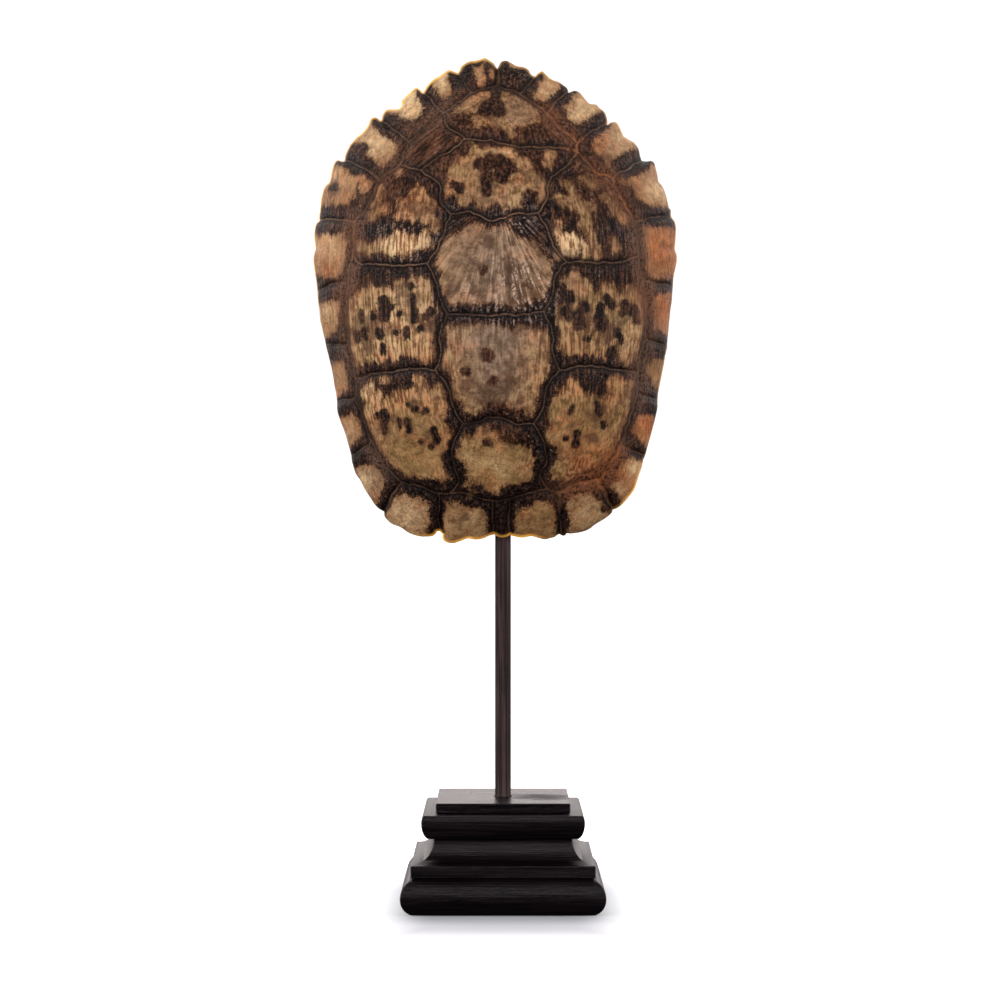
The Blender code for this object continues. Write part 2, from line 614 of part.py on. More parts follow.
clear_scene()
shell_parts = new_collection("turtle_shell")
cutters = new_collection("cutters")
cutters.hide_render = True
black_paint = new_material("black_paint", PAINTED_BLACK, 0.35)
dark_metal = new_material("dark_metal", DARK_METAL, 0.4, 0.8)
horn = new_material("horn", HORN, 0.45)
make_base(shell_parts, cutters, black_paint)
make_rod(shell_parts, dark_metal)
make_block(shell_parts, cutters, black_paint)
make_shell(shell_parts, horn)
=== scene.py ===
"""Turtle shell on a display stand: the finish of every piece.

A cleaned turtle carapace hangs tail end up on a dark metal rod, over a base of black painted mouldings.
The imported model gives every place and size. Each section below makes one piece, from the table up: base, rod
and shell, and then the block that joins those two. The floor, lights and camera come last.
Sizes are in millimetres and become metres in the meshes.
"""
import math

import bmesh
import bpy
import numpy as np
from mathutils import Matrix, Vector, noise
from mathutils.geometry import delaunay_2d_cdt


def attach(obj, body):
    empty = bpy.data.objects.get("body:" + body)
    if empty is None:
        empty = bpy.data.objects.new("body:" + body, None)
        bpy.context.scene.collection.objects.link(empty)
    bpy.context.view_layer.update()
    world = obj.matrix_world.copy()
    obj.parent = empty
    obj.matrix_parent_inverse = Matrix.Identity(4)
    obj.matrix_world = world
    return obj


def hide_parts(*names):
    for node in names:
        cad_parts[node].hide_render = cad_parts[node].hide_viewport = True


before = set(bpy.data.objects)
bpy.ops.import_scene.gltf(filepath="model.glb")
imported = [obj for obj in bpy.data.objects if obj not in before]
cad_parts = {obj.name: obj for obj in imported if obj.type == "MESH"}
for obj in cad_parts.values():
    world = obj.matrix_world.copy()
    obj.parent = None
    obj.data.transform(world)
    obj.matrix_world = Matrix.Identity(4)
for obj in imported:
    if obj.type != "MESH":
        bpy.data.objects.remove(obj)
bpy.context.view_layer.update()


# ---- base: four mouldings -------------------------------------------------------------------------------
# A square base of planed softwood: a thick bullnose foot, a cove with a flat fascia, an upper bullnose and a
# thin top plate. Each is mitred from strips, glued face to face, sanded and brushed with black satin paint.
MM = 0.001
GAP = 0.3                       # between glued pieces, and round the rod in its holes
FOOT_TOP = 18.0
COVE_TOP = 36.0
UPPER_TOP = 48.0
PLATE_TOP = 53.0
FOOT_BULGE = 100.0
FOOT_FLAT = 84.0
FOOT_SOLE = 89.0
FOOT_BULGE_HEIGHT = 8.5
FASCIA_WIDTH = 90.0
FASCIA_HEIGHT = 6.0
COVE_NECK = 68.0
COVE_RADIUS = 11.0
UPPER_BULGE = 80.0
UPPER_FLAT = 77.0
UPPER_FOOT = 72.0
UPPER_BULGE_DROP = 3.5
PLATE_WIDTH = 66.0
ARRIS = 0.55
ARRIS_ANGLE = 48.0              # edges that turn by more than this are sanded round
ROD_DIAMETER = 8.0
ROD_FOOT = 38.5
HOLE_SIDES = 48
FIRST_CORNER = 225              # where the front left corner lies, by angle
MITRE_BLUR = 0.0002
RUBBED_PLACE = (0.019, -0.004, 0.053)
PAINT_DEPTH = 0.00032


def rgb(red, green, blue):
    """A colour picked on the 0 to 255 scale, as the linear values that a shader takes."""
    picked = np.array([red, green, blue]) / 255
    linear = np.where(picked <= 0.04045, picked / 12.92, ((picked + 0.055) / 1.055) ** 2.4)
    return (*(float(value) for value in linear), 1.0)


class Field:
    """A value or a colour inside a material; arithmetic on a value adds its Math nodes."""

    def __init__(self, tree, socket=None):
        self.tree = tree
        self.socket = socket

    def node(self, kind, settings=None, inputs=None, output=0):
        """A new node: its settings are made first, then its sockets take values or links."""
        made = self.tree.nodes.new("ShaderNode" + kind)
        for name, value in (settings or {}).items():
            setattr(made, name, value)
        for name, value in (inputs or {}).items():
            if isinstance(value, Field):
                self.tree.links.new(value.socket, made.inputs[name])
            else:
                made.inputs[name].default_value = value
        return Field(self.tree, made.outputs[output])

    def maths(self, operation, *values):
        """A Math node on values or links."""
        return self.node("Math", {"operation": operation}, dict(enumerate(values)))

    def __add__(self, other):
        return self.maths("ADD", self, other)

    def __sub__(self, other):
        return self.maths("SUBTRACT", self, other)

    def __rsub__(self, other):
        return self.maths("SUBTRACT", other, self)

    def __mul__(self, other):
        return self.maths("MULTIPLY", self, other)

    __radd__ = __add__
    __rmul__ = __mul__

    def size(self):
        return self.maths("ABSOLUTE", self)

    def lower(self, other):
        return self.maths("MINIMUM", self, other)

    def higher(self, other):
        return self.maths("MAXIMUM", self, other)

    def step(self, start, end):
        """0 up to the start, 1 from the end on, and smooth between."""
        inputs = {"Value": self, "From Min": start, "From Max": end}
        return self.node("MapRange", {"interpolation_type": "SMOOTHSTEP"}, inputs)

    def near(self, width):
        """1 where the value is 0, and fading over the width."""
        return 1 - self.size().step(0, width)

    def blend(self, low, high):
        """A colour from low to high as this value goes from 0 to 1."""
        return self.node("Mix", {"data_type": "RGBA"}, {0: self, 6: low, 7: high}, 2)

    def times(self, factors):
        """A vector stretched along each axis."""
        return self.node("VectorMath", {"operation": "MULTIPLY"}, {0: self, 1: factors})

    def along(self, axis):
        """One coordinate of a vector."""
        return self.node("SeparateXYZ", None, {0: self}, axis)

    def grain(self, scale, detail=2.0, roughness=0.5, distortion=0.0):
        """Noise about 0.5 at this place."""
        inputs = {"Vector": self, "Scale": scale, "Detail": detail, "Roughness": roughness,
                  "Distortion": distortion}
        return self.node("TexNoise", None, inputs)

    def bump(self, depth):
        """A normal from this height, whose unit is the depth in metres."""
        return self.node("Bump", None, {"Height": self, "Distance": depth, "Strength": 1.0})


def surface(name, finish, **options):
    """A material whose shader sockets take what the finish function gives."""
    material = bpy.data.materials.new(name)
    material.use_nodes = True
    tree = material.node_tree
    shader = tree.nodes["Principled BSDF"]
    for socket, value in finish(Field(tree), **options).items():
        if isinstance(value, Field):
            tree.links.new(value.socket, shader.inputs[socket])
        else:
            shader.inputs[socket].default_value = value
    return material


def black_paint(start, framed=True, rubbed=False):
    """Satin black over brushed softwood, whose grain runs along each mitred strip."""
    place = start.node("TexCoord", output="Object")

    def wood(along, across, *shape):
        """Noise drawn out along the strips, which run front to back at the sides of a frame."""
        lengthwise = place.times((along, across, across)).grain(1.0, *shape)
        if not framed:
            return lengthwise
        on_side = (place.along("X").size() - place.along("Y").size()).step(-MITRE_BLUR, MITRE_BLUR)
        sideways = place.times((across, along, across)).grain(1.0, *shape)
        return lengthwise * (1 - on_side) + sideways * on_side

    fibres = wood(26, 1100, 4.0, 0.62, 0.25)
    broad = wood(9, 110, 2.0, 0.5)
    pits = place.grain(900, 3.0, 0.7)
    paint = fibres.step(0.36, 0.64).blend(rgb(2, 0, 1), rgb(18, 12, 16))
    paint = (broad.step(0.40, 0.70) * 0.5).blend(paint, rgb(25, 18, 22))
    dust = start.node("TexVoronoi", None, {"Vector": place, "Scale": 75}, "Distance")
    specks = 1 - dust.step(0.010, 0.022)
    paint = (specks * 0.85).blend(paint, rgb(190, 180, 170))
    gloss = 0.22 + fibres * 0.14 + broad * 0.08
    height = fibres + pits * 0.3 + broad * 0.8
    if rubbed:
        away = place.node("VectorMath", {"operation": "DISTANCE"}, {0: place, 1: RUBBED_PLACE}, "Value")
        worn = 1 - (away + (place.grain(120, 3.0) - 0.5) * 0.022).step(0.004, 0.019)
        gloss = 0.12 + fibres * 0.10 + broad * 0.06 + place.grain(420, 2.0) * 0.06
        gloss = gloss + worn * (0.16 + place.grain(700, 2.0) * 0.25)
        height = height + worn * place.grain(380, 3.0, 0.6) * 5.0
    return {
        "Base Color": paint,
        "Roughness": gloss,
        "Specular IOR Level": 0.30,
        "Specular Tint": (1.0, 0.90, 0.93, 1),
        "Normal": height.bump(PAINT_DEPTH),
    }


def arc(centre, radii, start, end, steps=18):
    """Points of an elliptical arc, by angle in degrees, in the (half width, height) plane."""
    angles = np.radians(np.linspace(start, end, steps + 1))
    return [(centre[0] + radii[0] * math.cos(a), centre[1] + radii[1] * math.sin(a)) for a in angles]


def smooth_faces(piece, sharp_above):
    """Smooth shading, with edges that turn by more than the angle left sharp."""
    piece.data.shade_smooth()
    piece.data.set_sharp_from_angle(angle=math.radians(sharp_above))


def sand(piece, width):
    """Arrises rounded over the width, as sanding leaves them."""
    bevel = piece.modifiers.new("arris", "BEVEL")
    bevel.width = width * MM
    bevel.segments = 3
    bevel.limit_method = "ANGLE"
    bevel.angle_limit = math.radians(ARRIS_ANGLE)
    smooth_faces(piece, ARRIS_ANGLE)
    return bevel


def circle(build, radius, height, sides, first_angle=0):
    """Points of a level circle, anticlockwise as seen from above."""
    turns = [math.radians(first_angle + 360 * i / sides) for i in range(sides)]
    return [build.verts.new((radius * math.cos(a) * MM, radius * math.sin(a) * MM, height * MM))
            for a in turns]


def join_rings(build, upper, lower):
    """Faces between two rings, which look outward, or inward when the rings change places."""
    for i in range(len(upper)):
        j = (i + 1) % len(upper)
        build.faces.new((upper[i], lower[i], lower[j], upper[j]))


def finished_mesh(name, build):
    """The mesh of what was built."""
    mesh = bpy.data.meshes.new(name)
    build.to_mesh(mesh)
    build.free()
    return mesh


def new_piece(name, mesh, material, node, body="root"):
    """An object that stands for a node of the model and moves with its body."""
    piece = bpy.data.objects.new(name, mesh)
    bpy.context.scene.collection.objects.link(piece)
    mesh.materials.append(material)
    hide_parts(node)
    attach(piece, body)
    return piece


def face_round_hole(build, corners, mouth):
    """Four faces that fill a square ring round the mouth of a hole, both given anticlockwise."""
    per_side = len(mouth) // 4
    made = []
    for side in range(4):
        fan = [mouth[(side * per_side + i) % len(mouth)] for i in range(per_side + 1)]
        made.append(build.faces.new([corners[side], corners[(side + 1) % 4]] + fan[::-1]))
    return made


def square_moulding(name, profile, material, hole_bottom=None):
    """A square piece with mitred corners, from its half profile, top to bottom.

    A round hole for the rod goes down to the given height, or right through where that is the underside.
    """
    build = bmesh.new()
    corners = [(-1, -1), (1, -1), (1, 1), (-1, 1)]
    rings = [[build.verts.new((x * half * MM, y * half * MM, z * MM)) for x, y in corners]
             for half, z in profile]
    for upper, lower in zip(rings, rings[1:]):
        join_rings(build, upper, lower)
    underside = profile[-1][1]
    if hole_bottom is None:
        build.faces.new(rings[0])
    else:
        mouth, end = (circle(build, ROD_DIAMETER / 2 + GAP, height, HOLE_SIDES, FIRST_CORNER)
                      for height in (profile[0][1], hole_bottom))
        join_rings(build, end, mouth)
        face_round_hole(build, rings[0], mouth)
        if hole_bottom > underside:
            build.faces.new(end)
        else:
            bmesh.ops.reverse_faces(build, faces=face_round_hole(build, rings[-1], end))
    if hole_bottom is None or hole_bottom > underside:
        build.faces.new(list(reversed(rings[-1])))
    mesh = finished_mesh(name, build)
    piece = new_piece(name, mesh, material, name.removesuffix("_painted"))
    sand(piece, ARRIS).harden_normals = True


framed_paint = surface("black_paint_framed", black_paint)
plate_paint = surface("black_paint_plate", black_paint, framed=False, rubbed=True)

foot_round = (FOOT_BULGE - FOOT_FLAT) / 2
foot_centre = (FOOT_FLAT / 2, FOOT_BULGE_HEIGHT)
sole_turn = math.degrees(math.acos((FOOT_SOLE - FOOT_FLAT) / (FOOT_BULGE - FOOT_FLAT)))
foot = arc(foot_centre, (foot_round, FOOT_TOP - GAP - FOOT_BULGE_HEIGHT), 90, 0)
foot_drop = FOOT_BULGE_HEIGHT / math.sin(math.radians(sole_turn))
foot += arc(foot_centre, (foot_round, foot_drop), 0, -sole_turn)[1:]
square_moulding("base_foot_moulding_painted", foot, framed_paint)

cove_centre = (FASCIA_WIDTH / 2, FOOT_TOP + FASCIA_HEIGHT + COVE_RADIUS)
cove = [(COVE_NECK / 2, COVE_TOP - GAP)]
cove += arc(cove_centre, (COVE_RADIUS, COVE_RADIUS), 180, 270)
cove += [(FASCIA_WIDTH / 2, FOOT_TOP)]
square_moulding("base_cove_moulding_painted", cove, framed_paint)

bulge_height = UPPER_TOP - GAP - UPPER_BULGE_DROP
upper = arc((UPPER_FLAT / 2, bulge_height), ((UPPER_BULGE - UPPER_FLAT) / 2, UPPER_BULGE_DROP), 90, 0, 10)
upper += arc((UPPER_FOOT / 2, bulge_height), ((UPPER_BULGE - UPPER_FOOT) / 2, bulge_height - COVE_TOP),
             0, -90)[1:]
square_moulding("base_upper_moulding_painted", upper, framed_paint, ROD_FOOT - GAP)

plate = [(PLATE_WIDTH / 2, PLATE_TOP), (PLATE_WIDTH / 2, UPPER_TOP)]
square_moulding("base_top_plate_painted", plate, plate_paint, UPPER_TOP)


# ---- rod --------------------------------------------------------------------------------------------
# A plain round steel rod, brushed with the same dark paint as the base. Its foot stands in a blind hole of
# the base, with a small fillet of paint round it, and its head in a blind hole of the block.
ROD_SIDES = 64
ROD_HEAD = 240.0
ROD_ROWS = 24
ROD_CHAMFER = 0.5
FILLET_TOP = 1.2
FILLET = [(0.12, 0.5), (0.55, 0.05), (0, 0.02)]     # (past the rod, above the plate)
ROUND_ANGLE = 50.0              # on round pieces, edges that turn by less than this are shaded smooth
THIN_PAINT_DEPTH = 0.00010


def rod_paint(start):
    """Thin brown-black paint over steel, with fine drawn streaks and a few rubbed places."""
    place = start.node("TexCoord", output="Object")
    streaks = place.times((900, 900, 14)).grain(1.0, 3.0, 0.6)
    clouds = place.times((90, 90, 30)).grain(1.0, 3.0, 0.5)
    specks = place.grain(800, 2.0, 0.6)
    paint = streaks.step(0.36, 0.64).blend(rgb(40, 30, 30), rgb(76, 62, 61))
    paint = (clouds.step(0.45, 0.75) * 0.6).blend(paint, rgb(32, 23, 24))
    gloss = 0.46 + clouds * 0.14 + streaks * 0.08
    height = streaks * 0.5 + specks * 0.3 + clouds * 0.5
    return {
        "Base Color": paint,
        "Roughness": gloss,
        "Metallic": 0.1,
        "Specular IOR Level": 0.06,
        "Normal": height.bump(THIN_PAINT_DEPTH),
    }


def turned(name, profile, sides):
    """A turned solid, from its (radius, height) profile, top to bottom, closed at both ends."""
    build = bmesh.new()
    rings = [circle(build, radius, height, sides) for radius, height in profile]
    for upper, lower in zip(rings, rings[1:]):
        join_rings(build, upper, lower)
    build.faces.new(rings[0])
    build.faces.new(list(reversed(rings[-1])))
    return finished_mesh(name, build)


rod_radius = ROD_DIAMETER / 2
rod_profile = [(rod_radius - ROD_CHAMFER, ROD_HEAD), (rod_radius, ROD_HEAD - ROD_CHAMFER)]
rod_rows = np.linspace(ROD_HEAD - 5, PLATE_TOP + FILLET_TOP, ROD_ROWS)
rod_profile += [(rod_radius, height) for height in rod_rows]
rod_profile += [(rod_radius + past, PLATE_TOP + above) for past, above in FILLET]
rod_profile += [(rod_radius, ROD_FOOT)]
rod_mesh = turned("rod_painted", rod_profile, ROD_SIDES)
rod = new_piece("rod_painted", rod_mesh, surface("rod_paint", rod_paint), "rod")
smooth_faces(rod, ROUND_ANGLE)


# ---- carapace -----------------------------------------------------------------------------------------
# The upper shell of a pond turtle: thin horny scutes, blotched dark and light, over a domed plate of bone,
# cleaned and left hollow. It hangs tail end up on the rod, which runs up behind the neck edge, and is glued
# by its roof to the block.
SHELL_X = -4.0                  # the shell's middle, from the rod and from the table
SHELL_Z = 302.0
DOME_HEIGHT = 64.0
WALL = 4.5
EDGE_SIDE = 8.0                 # how deep the free edge lies at the sides, behind the rod's middle
EDGE_END = -7.0                 # and at neck and tail, in front of it
EDGE_THICK = 2.2
LIP = 0.93                      # where the hollow starts, as a share of the way to the edge
GAP_REACH = 12.0                # distances from seams are measured no further than this

# Places on the shell are (u, v), to the right and up from its middle as it is seen from the front. The smooth
# edge under the notches is given by its distance from the middle, at angles in degrees.
EDGE_RADIUS = {
    0: 88.5, 20: 96, 40: 104.5, 60: 110.5, 75: 114.5, 90: 118, 105: 116, 120: 111.5, 140: 105, 160: 96.5,
    180: 89.3, 195: 89.5, 210: 94, 225: 104.5, 240: 118.5, 253: 122.5, 270: 120.5, 287: 122.5, 300: 119.5,
    315: 108, 330: 95, 345: 89.3,
}
NOTCH_START = 0.8               # the notches shape the dome from this share of the way out
NOTCH_SPAN = 0.2

# The free edge scute by scute, clockwise from the neck: N is the nuchal scute and M1 to M12 are the
# marginals, L on the left and R on the right. Each run of points starts where the last one ended.
NECK_CORNER = (7.5, -117.6)
SCUTE_EDGES = [
    # N
    [(6, -118.4), (3.7, -118.8), (1.5, -118.4), (-0.5, -117.3)],
    # M1L
    [(-2.8, -117.9), (-5.3, -119.1), (-8.2, -119.8), (-11.1, -119.8), (-12.8, -119.3), (-14.6, -119.6),
     (-17.5, -120.7), (-20.3, -121.6), (-22.8, -121.6), (-25.3, -120.7), (-26.4, -119.3), (-26.4, -117),
     (-27.8, -115.6)],
    # M2L
    [(-29.1, -115.7), (-29.6, -116.8), (-31.1, -118), (-34, -118.4), (-37.6, -118.3), (-40.5, -117.6),
     (-43.4, -116.4), (-47.7, -113.6), (-52, -111.8), (-54.1, -110), (-55.6, -107.8), (-55.7, -105.8)],
    # M3L
    [(-58.5, -104.2), (-60.3, -102.4), (-62.5, -99.2), (-66.1, -93.5), (-67.9, -89.9), (-70, -87),
     (-71.3, -83.4), (-72.4, -79), (-72.5, -77.5)],
    # M4L
    [(-73.8, -72.8), (-76, -65.6), (-78.7, -58.6), (-79.7, -55.5), (-80.1, -50)],
    # M5L
    [(-80.5, -46.5), (-81.2, -43), (-82.8, -34), (-85, -25), (-85.8, -22)],
    # M6L
    [(-86.1, -20.3), (-87.9, -12.5), (-88.7, -9.2), (-89.3, -2.9), (-89.8, 0.2), (-90.3, 5.5)],
    # M7L
    [(-90.7, 9.7), (-91.6, 16), (-92.1, 19.2), (-92.3, 22.4), (-91.8, 25.5), (-91.1, 27.4), (-91.4, 29.9),
     (-91.7, 33.1), (-91.6, 36.2), (-91.1, 39.1), (-90.2, 40.8), (-89.3, 41.6)],
    # M8L
    [(-89.3, 43.2), (-88.8, 46.5), (-88.1, 52.5), (-87.4, 55.2), (-86.6, 57.7), (-85.3, 59.5),
     (-83.9, 60.6), (-83.3, 62.4), (-82.8, 65.1), (-82, 68.1), (-81.1, 70.2), (-80.1, 71.4), (-78.8, 71.6),
     (-77.5, 71), (-76.2, 71.2)],
    # M9L
    [(-75.5, 74), (-74.3, 76.8), (-72.9, 79.3), (-71.4, 80.8), (-69.8, 82.6), (-67.9, 83.8), (-66.3, 85.3),
     (-64.7, 87.2), (-63.4, 89.5), (-62.5, 91.5), (-61.5, 92.2), (-60.3, 92.4), (-59, 92), (-57.3, 90.5)],
    # M10L
    [(-56.7, 92.8), (-55.7, 94.8), (-54.3, 96), (-52.3, 96.2), (-49.8, 96), (-47.5, 96.6), (-46.8, 98),
     (-47, 100.1), (-46.2, 101), (-44.3, 102.9), (-42.4, 104.7), (-40.9, 106), (-39.6, 106.7),
     (-38.3, 106.3), (-36.1, 104.3)],
    # M11L
    [(-35, 106.2), (-33.7, 108.2), (-31.9, 110), (-30.3, 111.3), (-28.1, 112.3), (-26, 113.9), (-24.4, 115),
     (-22.8, 115.5), (-21, 115), (-18.8, 114.2)],
    # M12L
    [(-17.8, 115.5), (-17.2, 116.9), (-15.6, 118.3), (-13.8, 119.4), (-11.9, 120), (-10, 120.1),
     (-8.1, 120.6), (-6.3, 121.2), (-5, 121.5), (-3.8, 120.9), (-2.5, 120.1), (-0.6, 118.7), (1.1, 116.3)],
    # M12R
    [(2, 118), (3.1, 119.6), (4.4, 120.1), (6.3, 120), (7.5, 119.4), (9.4, 118.3), (11.3, 117.3),
     (13.1, 117.2), (15.3, 116.6), (17.2, 115.1), (18.1, 113.4), (20, 112.4)],
    # M11R
    [(20.9, 113.5), (22.2, 114.3), (23.5, 115), (24.9, 113.9), (26.7, 112.1), (28.9, 110.6), (31.8, 109.6),
     (34.5, 107.8), (36.3, 106.4), (37, 104.3)],
    # M10R
    [(39.1, 105.1), (40.6, 105.2), (42, 104.6), (43.8, 102.8), (45.7, 100.6), (47.1, 99), (48.9, 98.6),
     (50.7, 98.5), (52.5, 96.8), (55.1, 94.6), (56.2, 92.1), (56.6, 90.3), (56.4, 88.6)],
    # M9R
    [(57.7, 89.6), (59.2, 90), (60.7, 90), (62.3, 88.1), (63.4, 85.9), (64.8, 83), (67, 81.7), (69.9, 80.1),
     (71.6, 78.3), (72.7, 76), (73.3, 73.2), (74.2, 71.3)],
    # M8R
    [(76.8, 71), (78.7, 71.3), (80.1, 70.5), (81.3, 67.3), (82.1, 64.4), (82.8, 60.8), (84.3, 59.2),
     (85.8, 56.4), (86.9, 53.3), (87.7, 49.8), (88.3, 48), (89.1, 47), (89.2, 44.9), (89.6, 43.4)],
    # M7R
    [(90.7, 42), (91.6, 39.8), (91.9, 36.9), (91.7, 33.1), (91.5, 30.2), (91.3, 26.8), (92.1, 24.9),
     (92.3, 21.7), (91.9, 19.2), (91.2, 16), (90.6, 12.8), (90.4, 9.7), (90.3, 8)],
    # M6R
    [(89.9, 3.4), (89.6, 0.3), (89.1, -2.9), (88.7, -6.7), (88.3, -10.5), (88, -14.2), (87.6, -18.7),
     (87.4, -22.5)],
    # M5R
    [(86.8, -25), (86.1, -28.2), (85.6, -31.4), (84.2, -38.4), (83.3, -42.8), (82.7, -45.7), (82.4, -49.7)],
    # M4R
    [(82.2, -53.7), (81.5, -56.6), (80.7, -60.2), (79.6, -64), (78.4, -68.3), (77.3, -72), (75.8, -77.5)],
    # M3R
    [(75, -79.2), (73.9, -83.5), (72.9, -86.4), (71.5, -90.7), (70.4, -93.9), (68.6, -96.8), (66.5, -99.3),
     (64.3, -101.8), (62.1, -103.6), (60.3, -104.5), (59.2, -104.8)],
    # M2R
    [(58.8, -106.2), (58, -107.1), (56.2, -108.6), (53.4, -110.4), (50.5, -112.1), (48.3, -113.9),
     (46.2, -115.2), (43.3, -116.1), (40.5, -116.6), (37.6, -116.9), (35.8, -116.8), (35.3, -117.8),
     (33.3, -117.7), (32.4, -117.1)],
    # M1R
    [(31.3, -117.5), (30, -118.6), (27.9, -119.1), (25, -119.8), (22.6, -119.3), (20.2, -118.6),
     (18, -118.2), (15.9, -118.6), (13, -118.9), (10.2, -118.4), (7.5, -117.6)],
]

# The ring seam parts the marginal scutes from the big inner ones. It is closed, and it passes the seams that
# meet it.
RING_SEAM = [
    (-1.6, -101.3), (-8, -99.5), (-15, -97.3), (-23, -97.4), (-28, -97.6), (-36.6, -93.9), (-47, -91.6),
    (-53.7, -85.2), (-59.9, -75.7), (-62, -70.8), (-66.6, -59.5), (-69.9, -49.6), (-70.6, -40.2),
    (-72, -31), (-73.3, -23.3), (-74.9, -8), (-73.7, 7.3), (-72.9, 14.5), (-70.7, 20.5), (-70.7, 30),
    (-69.8, 37.6), (-65.3, 42), (-60.4, 51), (-57.4, 57.8), (-51.6, 61.7), (-46.9, 66), (-44.8, 72.1),
    (-42.6, 76.7), (-34.5, 83.4), (-25.2, 91.5), (-18.5, 96.8), (-11.7, 102.6), (-5.4, 104.7), (0.9, 105.4),
    (6.8, 104.3), (12.2, 102.2), (19, 97.6), (26.5, 91.3), (33.8, 82.2), (40.4, 76.3), (41.2, 72),
    (46.6, 65.6), (51.8, 60.7), (58.5, 59.5), (61, 52.6), (65.9, 43.8), (70, 37.6), (71.2, 28),
    (71.3, 19.8), (74.2, 8.3), (76, -5), (75.6, -20.5), (73, -29.5), (72, -37.4), (71.5, -47.2),
    (68.9, -55.8), (65.8, -66.5), (63, -73.2), (57.6, -82.8), (51.5, -90.5), (41.5, -92.3), (32, -96.6),
    (26.9, -95.7), (16.5, -97.2), (7.2, -100.2),
]

# The five vertebral scutes run up the middle, between the costal scutes of either side.
INNER_SEAMS = [
    # across the middle, from the neck up
    [(-15.8, -63.7), (-8.5, -62.7), (-3, -60.5), (3.4, -60.9), (12.3, -63.8), (19.3, -63.2)],
    [(-23.2, -10.5), (-12.6, -10.8), (0, -11.2), (15.1, -10.5), (24.1, -9.8)],
    [(-21.5, 38.6), (-12, 39.3), (-1.3, 34.7), (8.7, 38.1), (21.3, 38.6)],
    [(-15, 77.3), (-1.6, 76), (14, 72.9), (29.8, 73.3), (41.2, 72)],
    # left sides of the middle row, from the neck up
    [(-15.8, -63.7), (-20.5, -74.3), (-20, -84.4), (-17.5, -91.2), (-23, -97.4)],
    [(-15.8, -63.7), (-20.7, -54.5), (-22.4, -46.5), (-29.3, -37.6)],
    [(-29.3, -37.6), (-26.6, -30.5), (-27, -20), (-23.2, -10.5)],
    [(-23.2, -10.5), (-26.1, -4.5), (-28.5, 5.6), (-33.5, 14)],
    [(-33.5, 14), (-27.9, 21.9), (-24.3, 31), (-21.5, 38.6)],
    [(-21.5, 38.6), (-25.5, 43.7), (-26.7, 52.3), (-36.6, 61.6)],
    [(-36.6, 61.6), (-29.4, 66.9), (-21.1, 71.5), (-15, 77.3)],
    [(-15, 77.3), (-24, 86.2), (-25.2, 91.5)],
    # between the left costal scutes
    [(-29.3, -37.6), (-39, -36.8), (-52, -37.6), (-70.6, -40.2)],
    [(-33.5, 14), (-48.5, 13.8), (-60.9, 15), (-67.6, 16.7), (-70.7, 20.5)],
    [(-36.6, 61.6), (-42, 62.7), (-46.9, 66)],
    # right sides of the middle row, from the neck up
    [(19.3, -63.2), (24.2, -73.6), (25.3, -81), (22.3, -88.9), (26.9, -95.7)],
    [(19.3, -63.2), (24.1, -54.4), (25.6, -44.8), (31.8, -37.5)],
    [(31.8, -37.5), (28.3, -29.5), (28.3, -18.5), (24.1, -9.8)],
    [(24.1, -9.8), (27.9, -1.5), (29.7, 8.5), (34.8, 15)],
    [(34.8, 15), (28.7, 22.5), (24.6, 32.8), (21.3, 38.6)],
    [(21.3, 38.6), (25, 44.6), (26.8, 55.8), (35, 63.5), (41.2, 72)],
    # between the right costal scutes, of which there are only three
    [(31.8, -37.5), (43.7, -35.1), (61.2, -36.3), (72, -37.4)],
    [(34.8, 15), (51, 15.5), (62.7, 16.8), (71.3, 19.8)],
]

# Seams of the marginal scutes, from the ring seam to the free edge, up the left side and down the right.
MARGINAL_SEAMS = [
    [(-1.6, -101.3), (-1.2, -109), (-0.5, -117.3)],
    [(-28, -97.6), (-27.7, -105), (-27.4, -115.7)],
    [(-47, -91.6), (-52, -98.6), (-55.7, -105.8)],
    [(-62, -70.8), (-65.6, -74.1), (-72.5, -77.5)],
    [(-69.9, -49.6), (-80.1, -50)],
    [(-73.3, -23.3), (-85.8, -22)],
    [(-73.7, 7.3), (-82, 7.6), (-90.4, 6)],
    [(-69.8, 37.6), (-80, 39.9), (-89.3, 41.7)],
    [(-57.4, 57.8), (-66, 64.8), (-76.2, 71.2)],
    [(-42.6, 76.7), (-50.5, 84), (-57.3, 90.5)],
    [(-25.2, 91.5), (-30.5, 97.5), (-36.1, 104.3)],
    [(-11.7, 102.6), (-15.5, 107), (-18.8, 114.2)],
    [(0.9, 105.4), (1.1, 116.3)],
    [(12.2, 102.2), (17, 107.3), (20, 112.4)],
    [(26.5, 91.3), (31, 99), (37, 104.3)],
    [(40.4, 76.3), (48, 83), (56.4, 88.5)],
    [(58.5, 59.5), (66, 64.6), (74.2, 71.2)],
    [(70, 37.6), (79.9, 40.9), (89.6, 43.4)],
    [(74.2, 8.3), (90.3, 8)],
    [(75.6, -20.5), (87.4, -22.5)],
    [(71.5, -47.2), (82.4, -49.7)],
    [(63, -73.2), (69, -75.5), (75.8, -77.5)],
    [(51.5, -90.5), (55.8, -97.4), (59.2, -104.8)],
    [(32, -96.6), (33, -117.2)],
    [(7.2, -100.2), (6.8, -108.6), NECK_CORNER],
]

